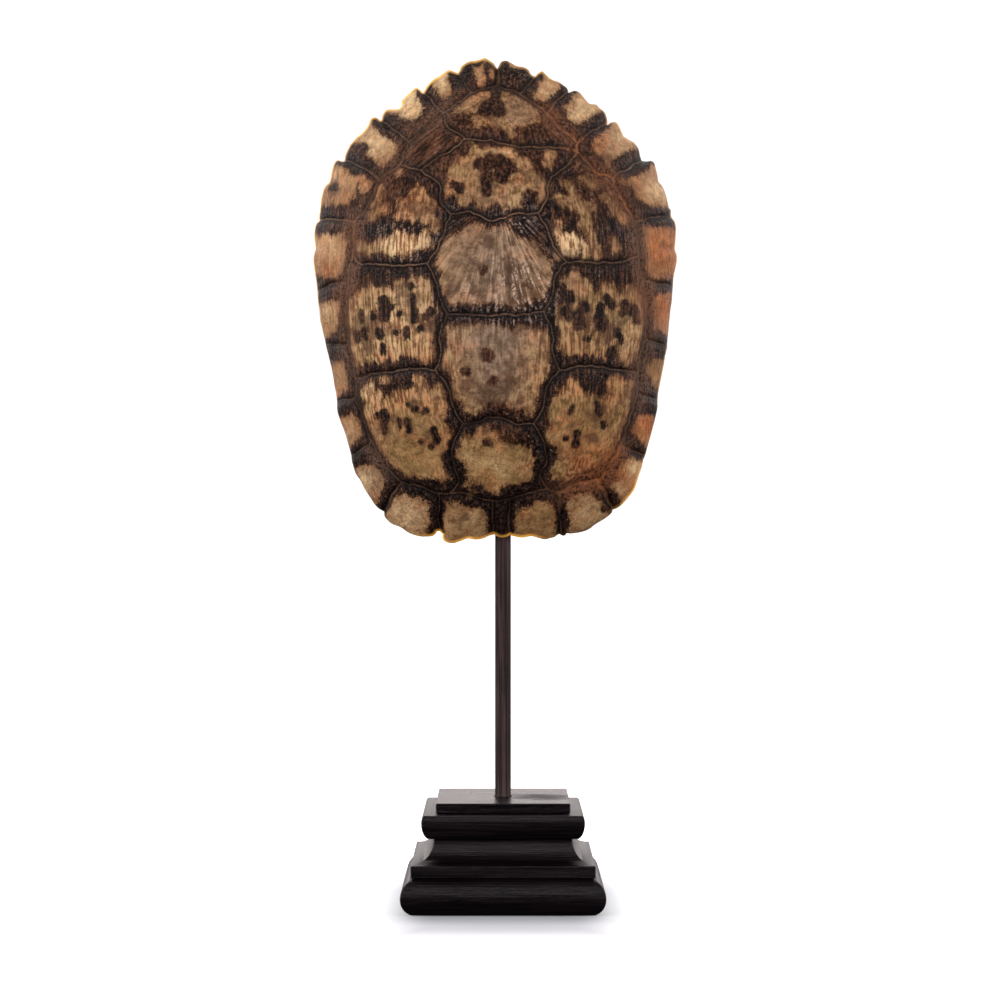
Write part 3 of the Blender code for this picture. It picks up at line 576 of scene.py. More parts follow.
# The light patches of each scute; what is left is dark. V1 to V5 are the vertebrals up the middle, and C1 to
# C4 the costals up each side.
LIGHT_PATCHES = [
    # V1
    [(-8, -65.5), (-3, -65), (0, -68), (2, -71), (6, -73), (12, -74), (17, -76), (18.5, -80), (18, -86),
     (16, -90.5), (10, -91.5), (7, -92), (4.5, -94), (3, -93), (1.5, -96), (-2.5, -95.5), (-5, -92.5),
     (-9, -91.5), (-15, -92.5), (-13, -90), (-12.5, -87), (-14, -83), (-16, -80), (-18.5, -79), (-17, -76),
     (-14.5, -75), (-16.5, -72), (-15, -68.5), (-11, -70), (-8.5, -68)],
    # V2
    [(-24, -17), (-19, -16.5), (-10, -17), (-3, -16), (3, -17), (8, -19.5), (12, -17), (19, -18),
     (25, -18.5), (25.5, -27), (25, -37), (23.5, -42), (21, -47), (19.5, -52), (18, -58), (15.5, -57.5),
     (14, -54), (11, -56), (8, -55.5), (5, -52.5), (1, -55), (-2, -52), (-4, -52.5), (-6, -56), (-9, -57.5),
     (-14, -57), (-16, -52), (-19, -50), (-19.5, -46), (-19.5, -42), (-22, -38), (-25, -34.5), (-24.5, -31),
     (-22, -27), (-22.5, -23)],
    # V3
    [(-24, 24), (-20, 27.5), (-14, 31), (-10, 33), (-5, 31), (-1, 30), (3, 31.5), (6, 32), (9, 28),
     (12, 25), (17, 25), (21, 23), (23.5, 19.5), (26, 16), (27.5, 12), (26.5, 6), (25, 1), (22, -2.5),
     (19, -3), (14, -5), (11, -6.5), (7, -5), (3, -4.5), (-2, -4), (-6, -5), (-10, -4), (-15, -5.5),
     (-20, -5), (-22, -1), (-25, 1), (-26.5, 5), (-26, 9), (-28, 13), (-27, 18)],
    # V4
    [(-21, 62), (-17, 66.5), (-12, 68.5), (-10, 73), (-6, 71), (0, 71.5), (4, 70.5), (6, 73), (9, 74),
     (9.5, 69), (12, 66), (16, 65.5), (18, 62.5), (19.5, 59), (22, 57), (24, 54.5), (27, 54), (26, 50),
     (24, 46.5), (22, 44), (21, 50), (17, 52.5), (13, 50), (12, 46), (12.5, 42), (7, 41), (3, 43), (1, 47),
     (-1, 43.5), (-5, 41.5), (-9, 44), (-11, 46), (-13, 43.5), (-16, 43.5), (-18, 47), (-21, 49),
     (-23.5, 47), (-23, 52), (-21, 55), (-23, 58)],
    [(25, 71), (29, 70), (28.5, 64), (26, 62), (24, 64), (25, 67)],
    # V5
    [(-20, 91.5), (-16, 92), (-13, 90.5), (-10, 91), (-8.5, 94), (-7, 96.5), (-3, 97), (-2, 99.5),
     (-4, 102.5), (-8, 101.5), (-11, 99.5), (-15, 97), (-19, 93.5)],
    [(-10.5, 88), (-8, 89), (-5, 88), (0, 87.5), (4, 88.5), (5, 92), (5, 96), (3, 97.5), (3, 101), (6, 101),
     (12, 98), (18, 94.5), (21, 91), (22, 87), (18, 85.5), (14, 84), (10, 84.5), (9, 83), (9, 79), (8, 78),
     (6, 80), (5, 83.5), (1.5, 84), (0, 82.5), (-1.5, 84), (-5, 84.5), (-9, 83.5), (-10, 85)],
    # C3L
    [(-57, 21), (-50, 20), (-45, 19.5), (-42, 20), (-38, 22), (-33, 21.5), (-30.5, 22), (-31.5, 26),
     (-33, 30), (-36, 27.5), (-40, 27.5), (-43, 28), (-47, 30), (-50, 27.5), (-54, 27.5), (-57, 25)],
    [(-47, 47), (-43, 46), (-40.5, 50), (-38, 53), (-35, 51.5), (-33.5, 47), (-31, 46), (-28.5, 44),
     (-29, 41), (-31.5, 40.5), (-32, 37), (-28, 36), (-26.5, 32), (-29, 30), (-31, 31), (-30, 34), (-34, 35),
     (-37, 37), (-40, 35.5), (-44, 37), (-48, 38), (-47, 42)],
    [(-62, 40), (-57, 43), (-53, 45), (-52, 41), (-56, 39.5), (-61, 37)],
    [(-69, 26), (-66, 27), (-62, 24), (-59, 25), (-58, 22), (-63, 21), (-66, 22)],
    # C2L
    [(-71, -1), (-66, 3), (-62, 2), (-60, 6), (-56, 6), (-54, 3.5), (-50, 2), (-48, 6), (-45, 6),
     (-43, 3.5), (-40, 6), (-36, 8), (-33, 5.5), (-31.5, 0), (-30, -5), (-29, -9), (-31, -12), (-30, -18),
     (-30.5, -25), (-31, -31), (-34, -33), (-38, -30.5), (-43, -29.5), (-48, -31), (-53, -30), (-57, -32),
     (-63, -31.5), (-70, -33), (-71, -27), (-71.5, -20), (-73, -12), (-73, -5)],
    # C1L
    [(-66, -45), (-62, -43), (-59, -44.5), (-57, -48), (-56, -52), (-52, -50.5), (-49.5, -47), (-47, -45),
     (-44, -47.5), (-41, -46), (-38, -47), (-37, -43), (-40, -41.5), (-37, -40.5), (-34, -42), (-31, -46),
     (-27, -45.5), (-25, -48.5), (-24.5, -56), (-25, -62), (-23, -66), (-21, -68), (-24, -71), (-24.5, -75),
     (-26.5, -79), (-26, -84), (-23.5, -89), (-26.5, -90.5), (-31, -89), (-38, -88.5), (-45, -86.5),
     (-49, -83), (-52.5, -79), (-56, -74), (-59.5, -69.5), (-62, -65), (-63, -60), (-64.5, -56),
     (-62.5, -51.5), (-66, -48)],
    # C1R
    [(36, -42), (40, -42.5), (43, -47), (45.5, -51), (49, -50), (53, -51), (57, -48), (56, -43),
     (59, -40.5), (61, -39), (63.5, -41.5), (68, -42), (67.5, -50), (65, -57), (63.5, -63), (60, -70),
     (57, -77), (50, -82.5), (40, -87.5), (30, -90), (28, -88), (29.5, -84), (31.5, -80), (31, -74),
     (27, -72), (25, -69), (27.5, -64), (27.5, -58), (29, -53), (31, -47), (35, -45)],
    # C2R
    [(33, 5.5), (37, 9), (40, 8.5), (41, 5), (42, 6.5), (46, 5), (48, 1), (50, 0), (52, 3.5), (55, 5.5),
     (58.5, 5), (60, 2), (61, -1), (63.5, 0), (64, 3), (68, 4), (72, 0), (73, -6), (73.5, -12), (72.5, -20),
     (71.5, -26), (69, -30), (65, -32.5), (62, -32), (61, -28), (59.5, -24), (56, -25), (53, -30), (49, -30),
     (45, -28.5), (40, -28.5), (35, -28), (31, -26.5), (31.5, -22), (33, -20), (31.5, -15), (31.5, -8),
     (34, -5), (33.5, 0)],
    # C3R
    [(32, 29), (35, 28), (38, 29.5), (40.5, 29), (42, 25), (40, 20), (38, 18), (34, 18.5), (33, 22),
     (31.5, 26)],
    [(29, 47), (33, 43.5), (37, 42), (41, 40), (43.5, 36), (44.5, 33), (47, 35), (46, 40), (49, 43),
     (48, 45.5), (43, 44), (41, 48), (38, 46), (33, 47), (31, 49)],
    # M7L
    [(-91, 33), (-84, 31.5), (-76.5, 31.5), (-74.5, 27), (-74.5, 20), (-76, 15), (-79, 11), (-84, 12.5),
     (-88, 14.5), (-92, 18), (-93, 24), (-92, 30)],
    # M6L
    [(-90.5, -4), (-85, -2), (-80, -1.5), (-78, -4), (-79, -8), (-79.5, -15), (-82, -16.5), (-88, -17),
     (-89, -11), (-91, -4)],
    # M5L
    [(-86.5, -29), (-80.5, -30), (-77, -32), (-75, -38), (-75, -44), (-78, -46.5), (-82.5, -44),
     (-84.5, -37)],
    # M4L
    [(-81, -56), (-76, -57), (-72, -58), (-69.5, -62), (-68, -67), (-70, -70), (-76, -71), (-78.5, -66)],
    # M3L
    [(-73, -82), (-67, -81), (-62, -82.5), (-58, -87), (-56, -91), (-57, -94), (-58, -99), (-60.5, -103),
     (-68, -94), (-72, -87)],
    # M2L
    [(-55, -105), (-50, -100), (-45, -98.5), (-40, -100), (-34, -101.5), (-33, -107), (-33, -112),
     (-31, -114.5), (-32, -119.5), (-40, -119.5), (-48, -115), (-55, -110)],
    # M1L
    [(-23.5, -103), (-19, -102.5), (-13, -105), (-8, -105), (-5, -109), (-4, -115), (-3, -120),
     (-12, -121.5), (-20, -123), (-26, -121.5), (-24.5, -114), (-24.5, -108)],
    # M8L
    [(-90, 47), (-80, 48), (-73, 47.5), (-70, 52), (-68, 58), (-66, 52), (-63, 53), (-62.5, 57), (-66, 60),
     (-70, 59.5), (-73, 61), (-75, 64.5), (-79, 66), (-84, 66), (-86, 60), (-89, 55)],
    # M9L
    [(-76, 76), (-71.5, 73), (-70, 75), (-66, 78), (-64.5, 73), (-62, 71), (-60, 69), (-56, 66),
     (-52, 67.5), (-49.5, 71), (-50, 76), (-53, 78), (-57, 81), (-60, 84), (-62, 88), (-64, 90), (-70, 85)],
    # M10L
    [(-50, 94.5), (-47, 91.5), (-42, 89), (-38, 91), (-37, 95), (-39.5, 99), (-40, 104), (-44, 105),
     (-48, 98.5), (-49.5, 95.5)],
    # M11L
    [(-32, 112), (-29.5, 107), (-28, 102.5), (-25, 100.5), (-22.5, 103), (-23.5, 108), (-24.5, 112),
     (-22, 113.5), (-23, 117), (-29, 114)],
    # M12L
    [(-18, 115.5), (-13, 114.8), (-11, 116), (-12, 122), (-17, 120)],
    [(-10.5, 119), (-9, 112), (-7.5, 106), (-5.5, 106), (-6, 112), (-6.5, 119)],
    # M12R
    [(6, 121), (12, 119.5), (18, 117), (17, 113), (12, 111.5), (8, 112), (6, 116)],
    # M11R
    [(20, 100), (25, 98.5), (29, 103), (32, 107.5), (30, 112), (26, 108.5), (22, 105)],
    # M10R
    [(35.5, 95.5), (37.5, 89), (42, 87), (46, 90.5), (51, 92), (56, 93.5), (52, 100), (47, 101), (43, 106),
     (39, 104), (40.5, 100.5), (38, 98)],
    # M9R
    [(49, 72.5), (52, 70), (56, 66), (60, 71), (65, 74.5), (71, 76.5), (74, 77), (70, 82), (65, 86),
     (62.5, 91), (58.5, 90.5), (56, 84.5), (53.5, 81), (50.5, 78), (48, 76)],
    # M8R
    [(63.5, 57), (68, 59), (72, 60.5), (76, 64), (81, 70), (83, 64), (85.5, 59.5), (89, 50), (88, 46.5),
     (83, 46), (79, 47), (75, 48.5), (70.5, 50), (71, 54), (67, 56)],
    # M7R
    [(74, 34), (80, 34.5), (86, 36), (93, 34), (93, 27), (94, 21), (92, 14), (85, 12), (80, 10), (77, 14),
     (76, 22), (75, 28)],
    # M6R
    [(81, 1), (85, 4), (91, 3), (91, -5), (90, -12), (85, -15), (81, -14), (80.5, -7)],
    # M5R
    [(77, -36), (80, -30), (87, -29), (86, -36), (84.5, -42), (78, -41.5)],
    # M4R
    [(71.5, -58), (76, -56), (82, -57.5), (82, -63), (80, -69), (74, -70), (70, -66)],
    # M3R
    [(58.5, -94), (61.5, -88), (65, -82.5), (68.5, -79.5), (76, -80), (75, -87), (72, -94), (68.5, -99),
     (62, -97), (60.5, -95)],
    # M2R
    [(36, -103), (41, -98.5), (46, -97), (50, -100), (54, -103), (59, -107), (51, -114), (44, -118),
     (36, -118), (35.5, -112), (38, -109)],
    # M1R
    [(11, -107), (16, -105), (22, -102), (27.5, -102.5), (29, -106), (28.5, -113), (27.5, -120),
     (20, -120.3), (13, -120.5), (8.5, -119.5), (10.5, -112)],
]

# Spots of near-black inside the light patches, and light flecks in the dark, as strokes of (u, v, radius).
DARK_SPOTS = [
    # V1
    [(-4.4, -72.3, 1.7), (-2.8, -73, 1.5)],
    # V2
    [(-3.5, -31, 3)], [(-4.5, -28.5, 1.5)], [(-1, -42.5, 2)], [(-14, -38.3, 2.2)],
    # V3
    [(-5.5, 11.2, 1.9), (-6, 9.5, 1.1)],
    # V4
    [(-7, 63.5, 3.2), (-4, 61.5, 2.5)], [(-2.5, 67, 1.6), (-2, 62, 2)],
    [(-3.5, 58, 2.2), (-3.8, 52, 2), (-4, 48.5, 1.5)], [(3, 66, 2.5), (4.5, 61.5, 4.5), (3, 57, 3.5)],
    [(8, 61, 2.5)], [(-17, 51, 2.3), (-20, 53, 1.6)],
    # V5
    [(-5, 92, 3), (-3, 95, 2.5)], [(2.5, 91, 2.6), (2, 94, 2.5)], [(0, 96, 2), (0.5, 101, 2)],
    # C2L
    [(-54.5, -3, 2), (-54, -10, 2.5)], [(-50, -6.5, 1.3)], [(-39.5, -2, 1.6), (-39.5, -13, 1.6)],
    [(-41, 3, 1.5)], [(-68.5, -18.5, 1.5), (-68, -21.5, 1.3)], [(-64.6, -17, 1.3), (-64, -20, 1.2)],
    [(-56.8, -18, 1.5), (-56.5, -20.5, 1.2)], [(-48.5, -18.5, 1.0)], [(-43.1, -17.5, 1.4), (-42.5, -21, 1.1)],
    [(-36.2, -17, 1.5)], [(-66, -8, 1.1), (-65.5, -12, 1.1)], [(-60, -8, 0.9), (-60, -11, 0.9)],
    [(-55, -25, 1.2), (-54.5, -28, 1.0)], [(-47, -10, 0.9)],
    [(-57, 7, 3)], [(-34, -12, 1.5)], [(-31, -9, 2)],
    # C1L
    [(-47, -61.5, 1.3), (-46.5, -64, 1.3)], [(-43, -62, 1.8), (-42, -66, 1.8)],
    [(-55, -57.5, 1.6), (-55, -63, 1.3), (-54.5, -66, 1.4)], [(-58, -59, 1.2)], [(-53, -60, 1.5)],
    [(-38.7, -56, 1.4)], [(-33.5, -56.5, 1.4)], [(-35, -57, 1)], [(-30, -66, 1.5), (-28.5, -71, 1.5)],
    [(-31, -74, 1)], [(-43, -54, 0.8)], [(-36, -72, 1)], [(-43, -44, 2)], [(-49, -44, 1.6)],
    [(-46, -42, 1.2)],
    # C1R
    [(38, -55, 1.2), (37.5, -57, 1.2)], [(40.3, -67.5, 1.2), (39.6, -72.5, 1.5)], [(34.8, -70.5, 0.9)],
    [(50, -53, 1.3), (52, -58, 1.3)], [(53, -62, 1.3), (53.5, -63.5, 1.3)],
    # C2R
    [(36.5, -2.5, 3)], [(34.5, -9, 2.3), (36, -11, 2.3)], [(44, -6.5, 2.2)],
    [(41, -11, 2.7), (41, -15, 2.9)], [(51.5, -6.5, 2.3), (52, -15, 2.7)],
    [(55, -2, 1.8), (57, -5, 1.8)], [(64, -4, 1.8), (63, -8, 1.8)], [(69, -6, 2), (70, -11, 2)],
    [(60, -17, 1.2), (62, -22, 1.2)], [(45, -22, 1.2)], [(57.5, -28, 2.5)], [(67, -8, 1.2)],
    [(32, 3, 1.5), (32, -2, 1.5)],
    # M8L
    [(-81.5, 57, 2)], [(-80.5, 56, 1.3)],
    # M9L
    [(-66.5, 75.5, 2.8)],
    # M12L
    [(-9, 119, 2.2)],
    # M2R
    [(54, -105, 1)],
]
LIGHT_FLECKS = [
    # C3L
    [(-59, 45, 1.2), (-56, 53, 1.2)], [(-47, 61, 1.5)],
    # C1L
    [(-54.5, -41.5, 2)],
    # C3R
    [(43.5, 33, 1.8), (47, 27, 1.8), (50, 19, 1.8)], [(44.5, 22, 1.3), (44.5, 17, 1.3)],
    [(58.5, 27, 1.6), (59.5, 23, 1.6)], [(55, 48, 2), (64, 37, 2)], [(35, 54, 1.3), (38, 50, 1.3)],
    [(43, 57, 1.5), (49, 54, 1.5)], [(31, 34, 1), (30, 30, 1)], [(30.5, 17, 1.2)],
    # M10L
    [(-53, 95.5, 1), (-48, 94.5, 1)],
    # V4/V3
    [(6, 69, 1.2)], [(0, 70, 1)], [(7, 37.2, 0.9)],
    # V5
    [(-17.5, 77, 0.9)], [(-13, 76.3, 0.9)],
    # M12
    [(-0.5, 114, 1.1), (-0.5, 111.6, 1.1)],
    # M1
    [(11.5, -112, 0.9)], [(-12, -97.5, 0.8)],
]

# Where the horn's tone or texture changes, as soft clouds of (u, v, radius, strength).
TONES = {
    # cream horn, and two painted highlights on M3R, the small clouds at (70, -84) and (62, -95)
    "cream_and_highlight": [(-45, 24, 12, 0.9), (-44, 97, 14, 1), (-44, 101, 8, 0.6), (2, -84, 6, 0.5),
              (-61, -47, 7, 0.6), (36, 25, 8, 0.8), (-52, -14, 22, 0.45), (-12, -80, 6, 0.3),
              (66, -18, 10, 0.5), (-84, 28, 8, 0.45), (45, 95, 9, 0.9), (70, -84, 4, 0.8),
              (62, -95, 3.5, 0.8), (-14, 118, 6, 0.9), (-45, -108, 10, 0.8), (47, -106, 10, 0.5),
              (-15, -111, 9, 0.4), (6, 69, 2, 1), (0, 70, 2, 1), (-81, 63, 6, 0.6), (-61, 79, 9, 0.9),
              (-27, 110, 7, 0.9), (10, 117, 6, 0.8), (-66, -90, 6, 0.7), (64, 80, 8, 0.7),
              (25, 103, 7, 0.9), (-76, -66, 5, 0.6), (82, 56, 7, 0.8), (-84, -6, 5, 0.5)],
    "yellow": [(-2, -83, 15, 0.9), (-40, -74, 18, 0.7), (42, -62, 18, 0.6), (64, -12, 8, 0.6),
               (40, -24, 9, 0.4), (80, -36, 5, 0.8), (-15, -112, 12, 0.4), (20, -112, 12, 0.6)],
    "pink": [(0, 12, 30, 1), (0, -26, 16, 0.9), (0, -48, 14, 0.7), (-64, -91, 9, 0.9), (-60, 78, 8, 0.7),
             (12, 92, 9, 0.5), (-45, -105, 9, 0.5), (60, 80, 8, 0.4)],
    "rust": [(84, 25, 13, 1), (85, -5, 10, 1), (48, -81, 13, 0.65), (76, -63, 8, 1), (-84, 15, 5, 0.6),
             (-48, -50, 8, 0.35), (-38, 46, 10, 0.35), (-45, -22, 10, 0.3), (-71, -30, 2.5, 1),
             (70, 52, 8, 0.3), (63, -88, 6, 0.6), (50, 80, 8, 0.5), (56, -46, 8, 0.4), (28, 104, 8, 0.4),
             (-57, 42, 6, 0.6)],
    "russet": [(-28, 74, 16, 1), (-56, 50, 10, 0.9), (8, 80, 14, 0.7), (-4, -72.5, 4, 0.9),
               (6, -69.5, 7, 0.9), (-46, 80, 8, 0.8), (28, 82, 12, 0.6), (-74, -2, 12, 0.7),
               (74, -10, 6, 0.7), (56, 52, 10, 0.5), (50, 34, 12, 0.5), (73, 25, 6, 0.8), (60, -78, 8, 0.7),
               (0, -97, 8, 0.2), (-10, 66, 8, 0.3), (60, 20, 8, 0.3)],
    "ridged": [(-45, 24, 16, 1), (36, 24, 12, 1), (46, -24, 16, 0.9), (-50, -24, 18, 0.9),
               (-50, -48, 14, 1), (-64, -14, 8, 0.8), (38, -44, 12, 0.6), (60, 20, 16, 0.5),
               (-44, -4, 14, 0.5)],
    # painted highlights: where pale glints lie along the fibre ridges
    "painted_glint": [(14, 6, 11, 1), (18, -2, 10, 1), (-12, -3, 7, 0.8), (-2, 14, 4, 0.6), (10, 28, 6, 0.6),
              (6, -10, 10, 0.5), (-46, 24, 9, 1), (36, 24, 6, 0.6), (12, 38, 8, 0.6), (-27, 22, 6, 0.5)],
    "stain": [(-5, -66.5, 3, 0.6), (9, -70, 7, 0.6), (6, -42, 6, 0.7), (14, -16, 6, 0.8), (0, -53, 9, 0.6),
              (-6, 12, 4, 0.8), (-30, -17, 4, 0.7), (-46, 4, 4, 0.6), (-12, -48, 8, 0.5), (12, -34, 6, 0.3),
              (8, 11, 6, 1), (9, 3, 5, 0.8), (12, -3, 5, 0.5), (-4, 25, 4, 0.8), (-20, 1, 6, 0.6),
              (-15, 15, 6, 0.4), (20, 8, 5, 0.4), (-40, -62, 7, 0.4), (-66, -14, 7, 0.8),
              (-55, -14, 7, 0.6), (-36, -15, 6, 0.7), (-43, -5, 6, 0.6), (-62, -24, 5, 0.6),
              (50, -12, 8, 0.5), (55.5, -19, 4, 1), (37, -8, 7, 0.8), (64, -8, 6, 0.7), (60, -18, 5, 0.5),
              (48, -20, 6, 0.5), (-81, 56, 5, 0.7), (-67, 74, 4, 0.6), (54, 67, 5, 0.8), (3, 60, 10, 0.7),
              (-10, 48, 7, 0.6), (18, 55, 6, 0.5), (-2, 92, 7, 0.8), (2, 80, 5, 0.6), (40, -66, 8, 0.5),
              (50, -56, 7, 0.6), (-54, -62, 6, 0.6), (-30, -68, 6, 0.5), (-17, -107, 5, 0.5),
              (48.5, -69.5, 3, 0.9), (-33, 42, 6, 0.6), (-40, 40, 6, 0.5)],
    "faint": [(58, 46, 14, 1), (56, 26, 8, 0.5), (46, 56, 10, 0.9), (-57, 42, 8, 0.7), (-50, 52, 8, 0.5),
              (-8, 60, 12, 0.2), (-66, 25, 6, 0.5), (14, 95, 9, 0.3)],
    "fibrous": [(60, -82, 14, 1), (46, -94, 12, 0.9), (73, -40, 16, 0.9), (76, 0, 18, 1), (72, 30, 16, 0.8),
                (-73, -30, 16, 0.7), (-74, 8, 16, 0.9), (-70, 36, 12, 0.8), (-50, 66, 14, 0.5),
                (-60, -82, 10, 0.8), (40, -97, 10, 0.5), (30, 88, 16, 0.6), (-26, 92, 16, 0.7),
                (56, 58, 12, 0.7)],
    "smooth": [(0, -82, 14, 1), (-38, -74, 16, 1), (-14, 14, 13, 0.6), (-14, 28, 9, 0.5),
               (42, -68, 14, 0.7), (0, -28, 18, 0.4), (-4, -50, 12, 0.5), (12, 92, 10, 0.6),
               (-8, 52, 12, 0.4)],
    "black": [(-22, -82, 8, 1), (24, -82, 8, 1), (-36, -96, 10, 1), (0, -98, 26, 1), (-17, -70, 6, 0.8),
              (20, -70, 6, 0.8), (-55, -88, 8, 0.8), (-28, -56, 5, 0.6), (28, -52, 5, 0.6),
              (0, -110, 6, 0.9), (-28, -108, 5, 0.9), (33, -108, 5, 0.9), (-30, -12, 4, 0.6),
              (28, -10, 4, 0.6)],
    "slate": [(14, 34, 9, 1), (26, 18, 6, 0.8), (-28, 26, 8, 0.8), (0, -10, 10, 0.7), (-18, -10, 8, 0.7),
              (20, -10, 8, 0.7), (-58.5, 33, 8, 0.7), (0, 37, 9, 0.7), (-24, 40, 6, 0.5), (29, -5, 6, 0.7),
              (-28, -2, 6, 0.7), (60, 31, 9, 0.9), (-47, -92, 10, 0.2), (32, 48, 6, 0.5)],
}

# The same, for seams worn to a rusty or a pale welt, and for a painted glow along the free edge, where it is
# thin enough to let light through.
SEAM_GLOW = [(26, 91, 12, 0.7), (40, 76, 10, 0.8), (52, 60, 10, 0.9), (64, 46, 10, 0.9), (52, -88, 12, 1),
             (60, -78, 8, 0.8), (74, 0, 14, 0.5), (36, -96, 10, 0.6), (-72, 30, 10, 0.5),
             (-74, -4, 14, 0.35), (-56, 56, 12, 0.4)]
SEAM_PALE = [(-52, 14.5, 20, 1), (-80, 40, 10, 1), (-30, 70, 16, 0.8), (14, 73, 26, 0.8), (0, 37, 18, 0.8),
             (-29, 24, 9, 0.6), (30, 26, 10, 0.6), (54, 16, 20, 0.7), (-52, -37, 20, 0.6),
             (50, -36, 20, 0.5), (-45, 64, 9, 0.8), (24, 50, 14, 0.5), (-50, 84, 10, 0.5),
             (-66, 65, 10, 0.5), (-30, 98, 9, 0.5), (0, -11, 26, 0.45), (32, 100, 10, 0.5),
             (48, 82, 10, 0.5), (66, 65, 10, 0.5)]
PAINTED_RIM_GLOW = [(-92, 22, 26, 1), (-86, 58, 16, 0.9), (-68, 84, 14, 0.9), (-45, 102, 14, 0.9),
            (-26, 113, 12, 0.9), (-6, 120, 8, 0.6), (92, 30, 16, 0.8), (70, -93, 12, 0.9),
            (-12, -119, 12, 1), (14, -118, 10, 1), (-30, -118, 8, 0.7), (86, -34, 14, 0.4),
            (60, 88, 12, 0.4), (22, 114, 10, 0.5)]

# Fibres fan out from a point over the middle scute, and lean with the edge over the small left costal.
MIDDLE_SCUTE = [(-23.2, -10.5), (24.1, -9.8), (34.8, 15), (21.3, 38.6), (-1.3, 34.7), (-21.5, 38.6),
                (-33.5, 14)]
SLANTED_SCUTE = [(-57.4, 57.8), (-36.6, 61.6), (-15, 77.3), (-24, 86.2), (-25.2, 91.5), (-42.6, 76.7)]
FAN_APEX = np.array([1.0, 48.0])
FAN_RADIUS = 34.0
SLANT = 42.0

# How far the pattern is measured from a patch's outline. Patches that meet the free edge run on past it. The
# painted glow along the free edge is measured over the horn itself, and the marginal tint starts at the ring
# seam.
PATTERN_REACH = 4.0
MEETS_EDGE = 0.94
PAST_EDGE = 1.05
RIM_REACH = 20.0
LEAST_FACING = 0.15
MARGIN_START = 4.0

# Spacing of the mesh's points, and how clear they keep of seams, edge and each other.
HALF_WIDTH = 96
HALF_LENGTH = 125
SEAM_STEP = 0.9
SEAM_ROWS = (0.45, 1.0)
ROW_CLEARANCE = 0.35
FIELD_STEP = 0.80
FIELD_CLEARANCE = 1.35
EDGE_CLEARANCE = 0.45
APART = 0.4
LIP_RINGS = (0.012, -0.002, -0.012, -0.03, -0.055, -0.085)
INSIDE_STEP = 1.9
INSIDE_CLEARANCE = 1.0
WELD = 0.01

# Relief of the horn: seams that wander, each a groove with a welt in it, scutes that swell between them,
# growth rings beside the seams, and unevenness as (height, size across, size along).
WANDER = 0.9
WANDER_PITCH = 4.0
SINK = 0.42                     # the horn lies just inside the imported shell
LEAST_SINK = 0.05
GROOVE_DEPTH = 0.85
GROOVE_WIDTH = 1.15
WELT_HEIGHT = 0.30
WELT_WIDTH = 0.30
SWELL_HEIGHT = 0.35
SWELL_WIDTH = 4.0
SWELL_DROP = 0.25
GROWTH_HEIGHT = 0.11
GROWTH_PITCH = 2.6
GROWTH_MIDDLE = 4.5
GROWTH_WIDTH = 3.5
UNEVENNESS = [(0.22, 9, 12), (0.16, 1.9, 10), (0.10, 2.2, 2.6)]
SEED_SHIFT = 37.7
EDGE_FADE = 0.06                # the relief fades over this share of the way, but not quite away
EDGE_RELIEF = 0.3
HORN_DEPTH = 0.0009

# Relief of the bone: a spine up the roof of the hollow, and ribs that fan from it.
SPINE_BOTTOM = -50.0
SPINE_TOP = 92.0
SPINE_STEP = 4.0
SPINE_HEIGHT = 3.2
SPINE_WIDTH = 3.5
RIB_PITCH = 20.0
RIB_COUNT = 8
FIRST_RIB = -62.0
RIB_START = 7.0
FIRST_RIB_START = 30.0
RIB_END = 90.0
RIB_STEP = 1.5
RIB_REACH = 0.80
RIB_FAN = 0.16
RIB_FAN_SPAN = 60.0
RIB_HEIGHT = 1.5
RIB_WIDTH = 3.4
BONE_DEPTH = 0.00035


def hermite(t, span, start, end, start_slope, end_slope):
    """A cubic over a span, between two values at the given slopes."""
    return ((2 * t**3 - 3 * t**2 + 1) * start + (t**3 - 2 * t**2 + t) * span * start_slope
            + (3 * t**2 - 2 * t**3) * end + (t**3 - t**2) * span * end_slope)


def smooth_curve(points, step=SEAM_STEP):
    """Points of a smooth curve that passes every given point, about a step apart."""
    knots = np.array(points, float)
    if len(knots) == 2:
        count = max(1, round(math.dist(*knots) / step))
        return [tuple(knots[0] + (knots[1] - knots[0]) * i / count) for i in range(count + 1)]
    chords = np.linalg.norm(np.diff(knots, axis=0), axis=1)
    along = np.concatenate([[0], np.cumsum(chords)])
    slopes = np.gradient(knots, along, axis=0)
    found = []
    for i, chord in enumerate(chords):
        count = max(1, round(chord / step))
        for t in np.arange(count) / count:
            found.append(tuple(hermite(t, chord, knots[i], knots[i + 1], slopes[i], slopes[i + 1])))
    return found + [tuple(knots[-1])]


def gap_to(points, lines):
    """Distance from each point to the nearest of the polylines, up to their reach.

    The lines are taken a few segments at a time, each against only the points that are near it.
    """
    nearest = np.full(len(points), GAP_REACH**2)
    for line in lines:
        line = np.asarray(line, float)
        for first in range(0, len(line) - 1, 8):
            run = line[first:first + 9]
            near = np.flatnonzero(np.all((points > run.min(axis=0) - GAP_REACH)
                                         & (points < run.max(axis=0) + GAP_REACH), axis=1))
            close = points[near]
            best = nearest[near]
            for start, end in zip(run[:-1], run[1:]):
                step = end - start
                t = np.clip(((close - start) @ step) / max(step @ step, 1e-9), 0, 1)
                gap = close - start - t[:, None] * step
                best = np.minimum(best, gap[:, 0] ** 2 + gap[:, 1] ** 2)
            nearest[near] = best
    return np.sqrt(nearest)


def inside(points, outline):
    """Which points lie within a closed outline."""
    within = np.zeros(len(points), bool)
    corners = np.asarray(outline, float)
    for (ua, va), (ub, vb) in zip(corners, np.roll(corners, -1, axis=0)):
        if va == vb:
            continue
        spans = (points[:, 1] > min(va, vb)) & (points[:, 1] <= max(va, vb))
        crossing = ua + (points[:, 1] - va) * (ub - ua) / (vb - va)
        within ^= spans & (crossing > points[:, 0])
    return within


